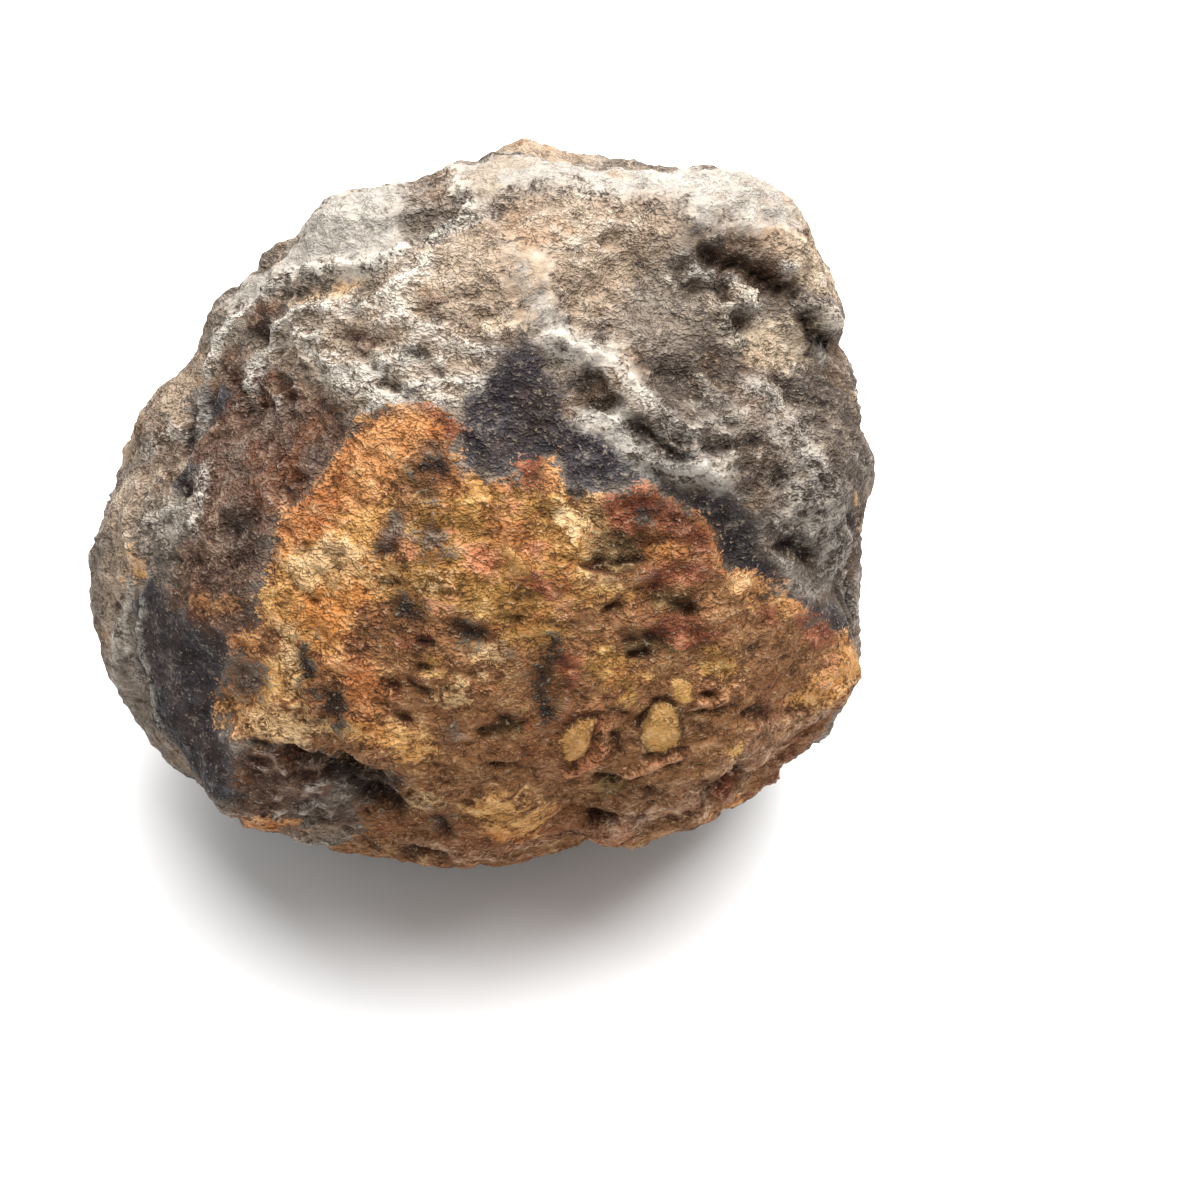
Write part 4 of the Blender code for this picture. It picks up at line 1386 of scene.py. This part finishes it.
@dataclass
class StoneMaterial:
    """The one material of the stone, painted from its patches.

    Attributes:
        effects: The node groups it uses.
        bump_mm: How far the bump's heights from 0 to 1 reach.
        shine: The level of the shader's reflection.
    """

    effects: Effects
    bump_mm: float = 1.7
    shine: float = 0.1

    @staticmethod
    def group(board: Board, tree: Tree, **values: object) -> Node:
        """Places a node group and feeds its inputs."""
        named = {name.replace("_", " "): value for name, value in values.items()}
        return board.add("ShaderNodeGroup", named, node_tree=tree)

    def mottled(self, board: Board, finish: Finish, fields: Node) -> Socket:
        """Returns a finish's mottled colour."""
        blotch = fields.outputs["Close" if finish.close else "Broad"]
        node = self.group(board, self.effects.mottle, Dark=linear(finish.dark),
                          Middle=linear(finish.middle), Pale=linear(finish.pale),
                          Stain=linear(finish.stain), Blotch=blotch,
                          Close=fields.outputs["Close"], Stained=fields.outputs["Stained"],
                          Contrast=finish.contrast)
        return node.outputs["Colour"]

    def edge(self, board: Board, mineral: Mineral, fields: Node) -> Socket:
        """Returns the mask of a mineral's patches."""
        finish = FINISHES[mineral]
        node = self.group(board, self.effects.ragged_edge, Distance=board.attribute(mineral.value),
                          Wander=fields.outputs["Wander"], Grain=fields.outputs["Height"],
                          Wobble=finish.wobble, Break=finish.broken, Softness=finish.softness)
        return node.outputs["Mask"]

    def build(self) -> bpy.types.Material:
        """Makes the material.

        Returns:
            The material, for the stone's mesh.
        """
        material = bpy.data.materials.new("geode stone")
        material.use_nodes = True
        board = Board(material.node_tree)
        shader = material.node_tree.nodes["Principled BSDF"]
        fields = self.group(board, self.effects.fields, Grain_Size=0.55, Blotch_Size=6.0, Level=1.5)
        height = fields.outputs["Height"]
        masks = {mineral: self.edge(board, mineral, fields) for mineral in Mineral}
        colour = self.mottled(board, CRUST, fields)
        for mineral, mask in masks.items():
            colour = board.mix(mask, colour, self.mottled(board, FINISHES[mineral], fields))
        colour = self._dust_and_painted_light(board, colour, masks, fields)
        board.feed(shader.inputs["Base Color"], colour)
        board.feed(shader.inputs["Roughness"], board.step(height, 0.3, 0.7, 0.85, 0.55))
        shader.inputs["Specular IOR Level"].default_value = self.shine
        smooth = board.math("MULTIPLY_ADD", masks[Mineral.CREAM], -0.65, 1.0)
        smooth = board.math("MULTIPLY_ADD", masks[Mineral.PALE_AND_SHEEN], -0.55, smooth)
        bump = board.add("ShaderNodeBump", {"Height": board.math("MULTIPLY", height, smooth)})
        bump.inputs["Strength"].default_value = 1.0
        bump.inputs["Distance"].default_value = self.bump_mm * MM
        board.feed(shader.inputs["Normal"], bump.outputs["Normal"])
        return material

    @staticmethod
    def _dust_and_painted_light(board: Board, colour: Socket, masks: dict[Mineral, Socket],
                   fields: Node) -> Socket:
        """Pales the crests and darkens the hollows and pores.

        Args:
            board: The material's board.
            colour: The painted colour.
            masks: Each mineral's mask. The ochre's crests stay bright ochre.
            fields: The noise fields.

        Returns:
            The colour with its dust, and its painted highlights and shade.
        """
        height = fields.outputs["Height"]
        relief = board.attribute("relief")
        # Pale dust and a painted sheen on the crests of the relief and on the marks' lips.
        crest = board.math("MULTIPLY", board.step(relief, 0.15, 0.8), 0.55)
        lip = board.math("MAXIMUM", crest, board.attribute("bloom"))
        pale = board.math("MULTIPLY", lip, board.step(height, 0.25, 0.6))
        off_ochre = board.math("MULTIPLY_ADD", masks[Mineral.OCHRE], -0.85, 1.0)
        pale = board.math("MULTIPLY", pale, off_ochre, clamp=True)
        colour = board.mix(pale, colour, DUST_AND_SHEEN)
        # Painted shade in the hollows of the relief.
        hollow_shade = board.math("MULTIPLY", board.step(relief, -0.05, -0.9), 0.5)
        colour = board.mix(hollow_shade, colour, HOLLOW_SHADE_TINT, "MULTIPLY")
        # Painted shade in the cracks, pits and cleft that the marks lay, darker in the low grain.
        dark = board.math("MULTIPLY", board.attribute("shade"), board.step(height, 0.95, 0.45))
        colour = board.mix(dark, colour, board.mix(0.85, colour, SHADE_AND_DIRT))
        # Painted highlight on the tops of the grains and on small glints.
        grain_highlight = board.math("MULTIPLY", board.step(height, 0.5, 0.85), 0.5)
        grain_highlight = board.math("MAXIMUM", grain_highlight, board.math("MULTIPLY", fields.outputs["Glints"], 0.6))
        colour = board.mix(grain_highlight, colour, board.mix(0.25, colour, GRAIN_HIGHLIGHT))
        # Painted shade between the grains and in the fine cracks.
        grain_shade = board.math("MULTIPLY", board.step(height, 0.45, 0.15), 0.7)
        grain_shade = board.math("MAXIMUM", grain_shade, board.math("MULTIPLY", fields.outputs["Cracks"], 0.6))
        firm = board.math("MULTIPLY_ADD", masks[Mineral.PALE_AND_SHEEN], -0.6, 1.0)
        grain_shade = board.math("MULTIPLY", grain_shade, firm)
        return board.mix(grain_shade, colour, board.mix(0.8, colour, GRAIN_SHADE))


@dataclass
class Geode:
    """The stone: its fine mesh, its carried values and its material.

    Attributes:
        surface: The fine mesh before the relief.
        relief: The relief and the mineral patches.
        material: What it is finished with.
    """

    SMOOTHING_ROUNDS = 14  # how broad the level is that the carried relief stands over
    BARE_MM = 0.3  # the height over the floor up to which the foot has no relief

    surface: StoneSurface
    relief: Relief
    material: StoneMaterial

    @staticmethod
    def _vectors(mesh: bpy.types.Mesh, items: str, field: str) -> Array:
        """Reads a vector of each of the mesh's items."""
        source = getattr(mesh, items)
        values = np.empty(len(source) * 3)
        source.foreach_get(field, values)
        return values.reshape(-1, 3)

    @staticmethod
    def _smoothed(mesh: bpy.types.Mesh, values: Array, rounds: int) -> Array:
        """Averages values with their neighbours' a number of times."""
        edges = np.empty(len(mesh.edges) * 2, dtype=np.int64)
        mesh.edges.foreach_get("vertices", edges)
        first, second = edges.reshape(-1, 2).T
        count = np.bincount(edges, minlength=len(values))
        for _ in range(rounds):
            total = np.bincount(first, weights=values[second], minlength=len(values))
            total += np.bincount(second, weights=values[first], minlength=len(values))
            values = 0.5 * values + 0.5 * total / count
        return values

    def build(self) -> Object:
        """Makes the stone.

        Returns:
            The stone's object.
        """
        mesh = self.surface.build_mesh()
        heart = self.surface.form.heart
        points = self._vectors(mesh, "vertices", "co")
        normals = self._vectors(mesh, "vertex_normals", "vector")
        minerals = self.relief.mineral_distances(points)
        height, bloom, shade = self.relief.heights(points, minerals)
        height *= smooth_step(points[:, 2] + heart[2], self.BARE_MM, self.surface.foot_mm)
        relief = height - self._smoothed(mesh, height, self.SMOOTHING_ROUNDS)
        shaped = points + normals * height[:, None] + heart
        shaped[:, 2] = np.maximum(shaped[:, 2], 0.0)
        low, high = (np.array(corner) / MM for corner in CAD_BOX)
        shaped = np.clip(shaped, low, high)
        mesh.vertices.foreach_set("co", (shaped * MM).ravel())
        carried = {mineral.value: distance for mineral, distance in minerals.items()}
        carried.update(relief=relief, bloom=bloom, shade=shade)
        for name, values in carried.items():
            mesh.attributes.new(name, "FLOAT", "POINT").data.foreach_set("value", values.astype(np.float32))
        mesh.update()
        mesh.materials.append(self.material.build())
        stone = add_object("geode_stone", mesh)
        LOG.info("geode_stone: %d squares", len(mesh.polygons))
        return stone


@dataclass
class Studio:
    """The pale floor and the soft light.

    Attributes:
        floor_radius: The floor's radius in metres.
        sky: The strength of the light from all round.
        softbox: The overhead light's power in watts.
        softbox_size: Its side in metres.
        softbox_place: Where it hangs, in metres.
        softbox_aim: What it is turned to.
    """

    floor_radius: float = 1.6
    sky: float = 0.54
    softbox: float = 24.0
    softbox_size: float = 1.0
    softbox_place: Triple = (0.16, 0.2, 0.8)
    softbox_aim: Triple = (0.0, 0.0, 0.05)

    def build_floor(self) -> Object:
        """Makes the round, pale floor.

        Returns:
            The floor's object.
        """
        disc = bmesh.new()
        bmesh.ops.create_circle(disc, cap_ends=True, segments=96, radius=self.floor_radius)
        mesh = bpy.data.meshes.new("floor")
        disc.to_mesh(mesh)
        disc.free()
        material = bpy.data.materials.new("white sheet")
        material.use_nodes = True
        board = Board(material.node_tree)
        shader = material.node_tree.nodes["Principled BSDF"]
        tone = board.noise(board.stone_coords(), 0.02, detail=3.0, rough=0.5)
        board.feed(shader.inputs["Base Color"], board.mix(tone, *SHEET_TONES))
        shader.inputs["Roughness"].default_value = 0.9
        mesh.materials.append(material)
        return add_object("floor", mesh)

    def build_light(self) -> None:
        """Makes the sky and the overhead softbox."""
        scene = bpy.context.scene
        scene.view_settings.view_transform = "Standard"
        world = bpy.data.worlds.new("white tent")
        world.use_nodes = True
        background = world.node_tree.nodes["Background"]
        background.inputs["Color"].default_value = (1.0, 1.0, 1.0, 1.0)
        background.inputs["Strength"].default_value = self.sky
        scene.world = world
        data = bpy.data.lights.new("softbox", "AREA")
        data.energy = self.softbox
        data.size = self.softbox_size
        softbox = add_object("softbox", data)
        place = Vector(self.softbox_place)
        turn = (Vector(self.softbox_aim) - place).to_track_quat("-Z", "Y")
        softbox.matrix_world = Matrix.Translation(place) @ turn.to_matrix().to_4x4()


def main() -> None:
    """Builds the camera, the stone and the studio, and ties the stone to the frame."""
    logging.basicConfig(level=logging.INFO)
    view = Viewpoint()
    view.build_camera()
    form = SolidForm(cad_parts["geode"], HEART_MM, view)
    geode = Geode(StoneSurface(form), Relief(form, MARKS, PATCHES), StoneMaterial(Effects()))
    stone = geode.build()
    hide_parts("geode")
    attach(stone, "root")
    studio = Studio()
    studio.build_floor()
    studio.build_light()


if __name__ == "__main__":
    main()
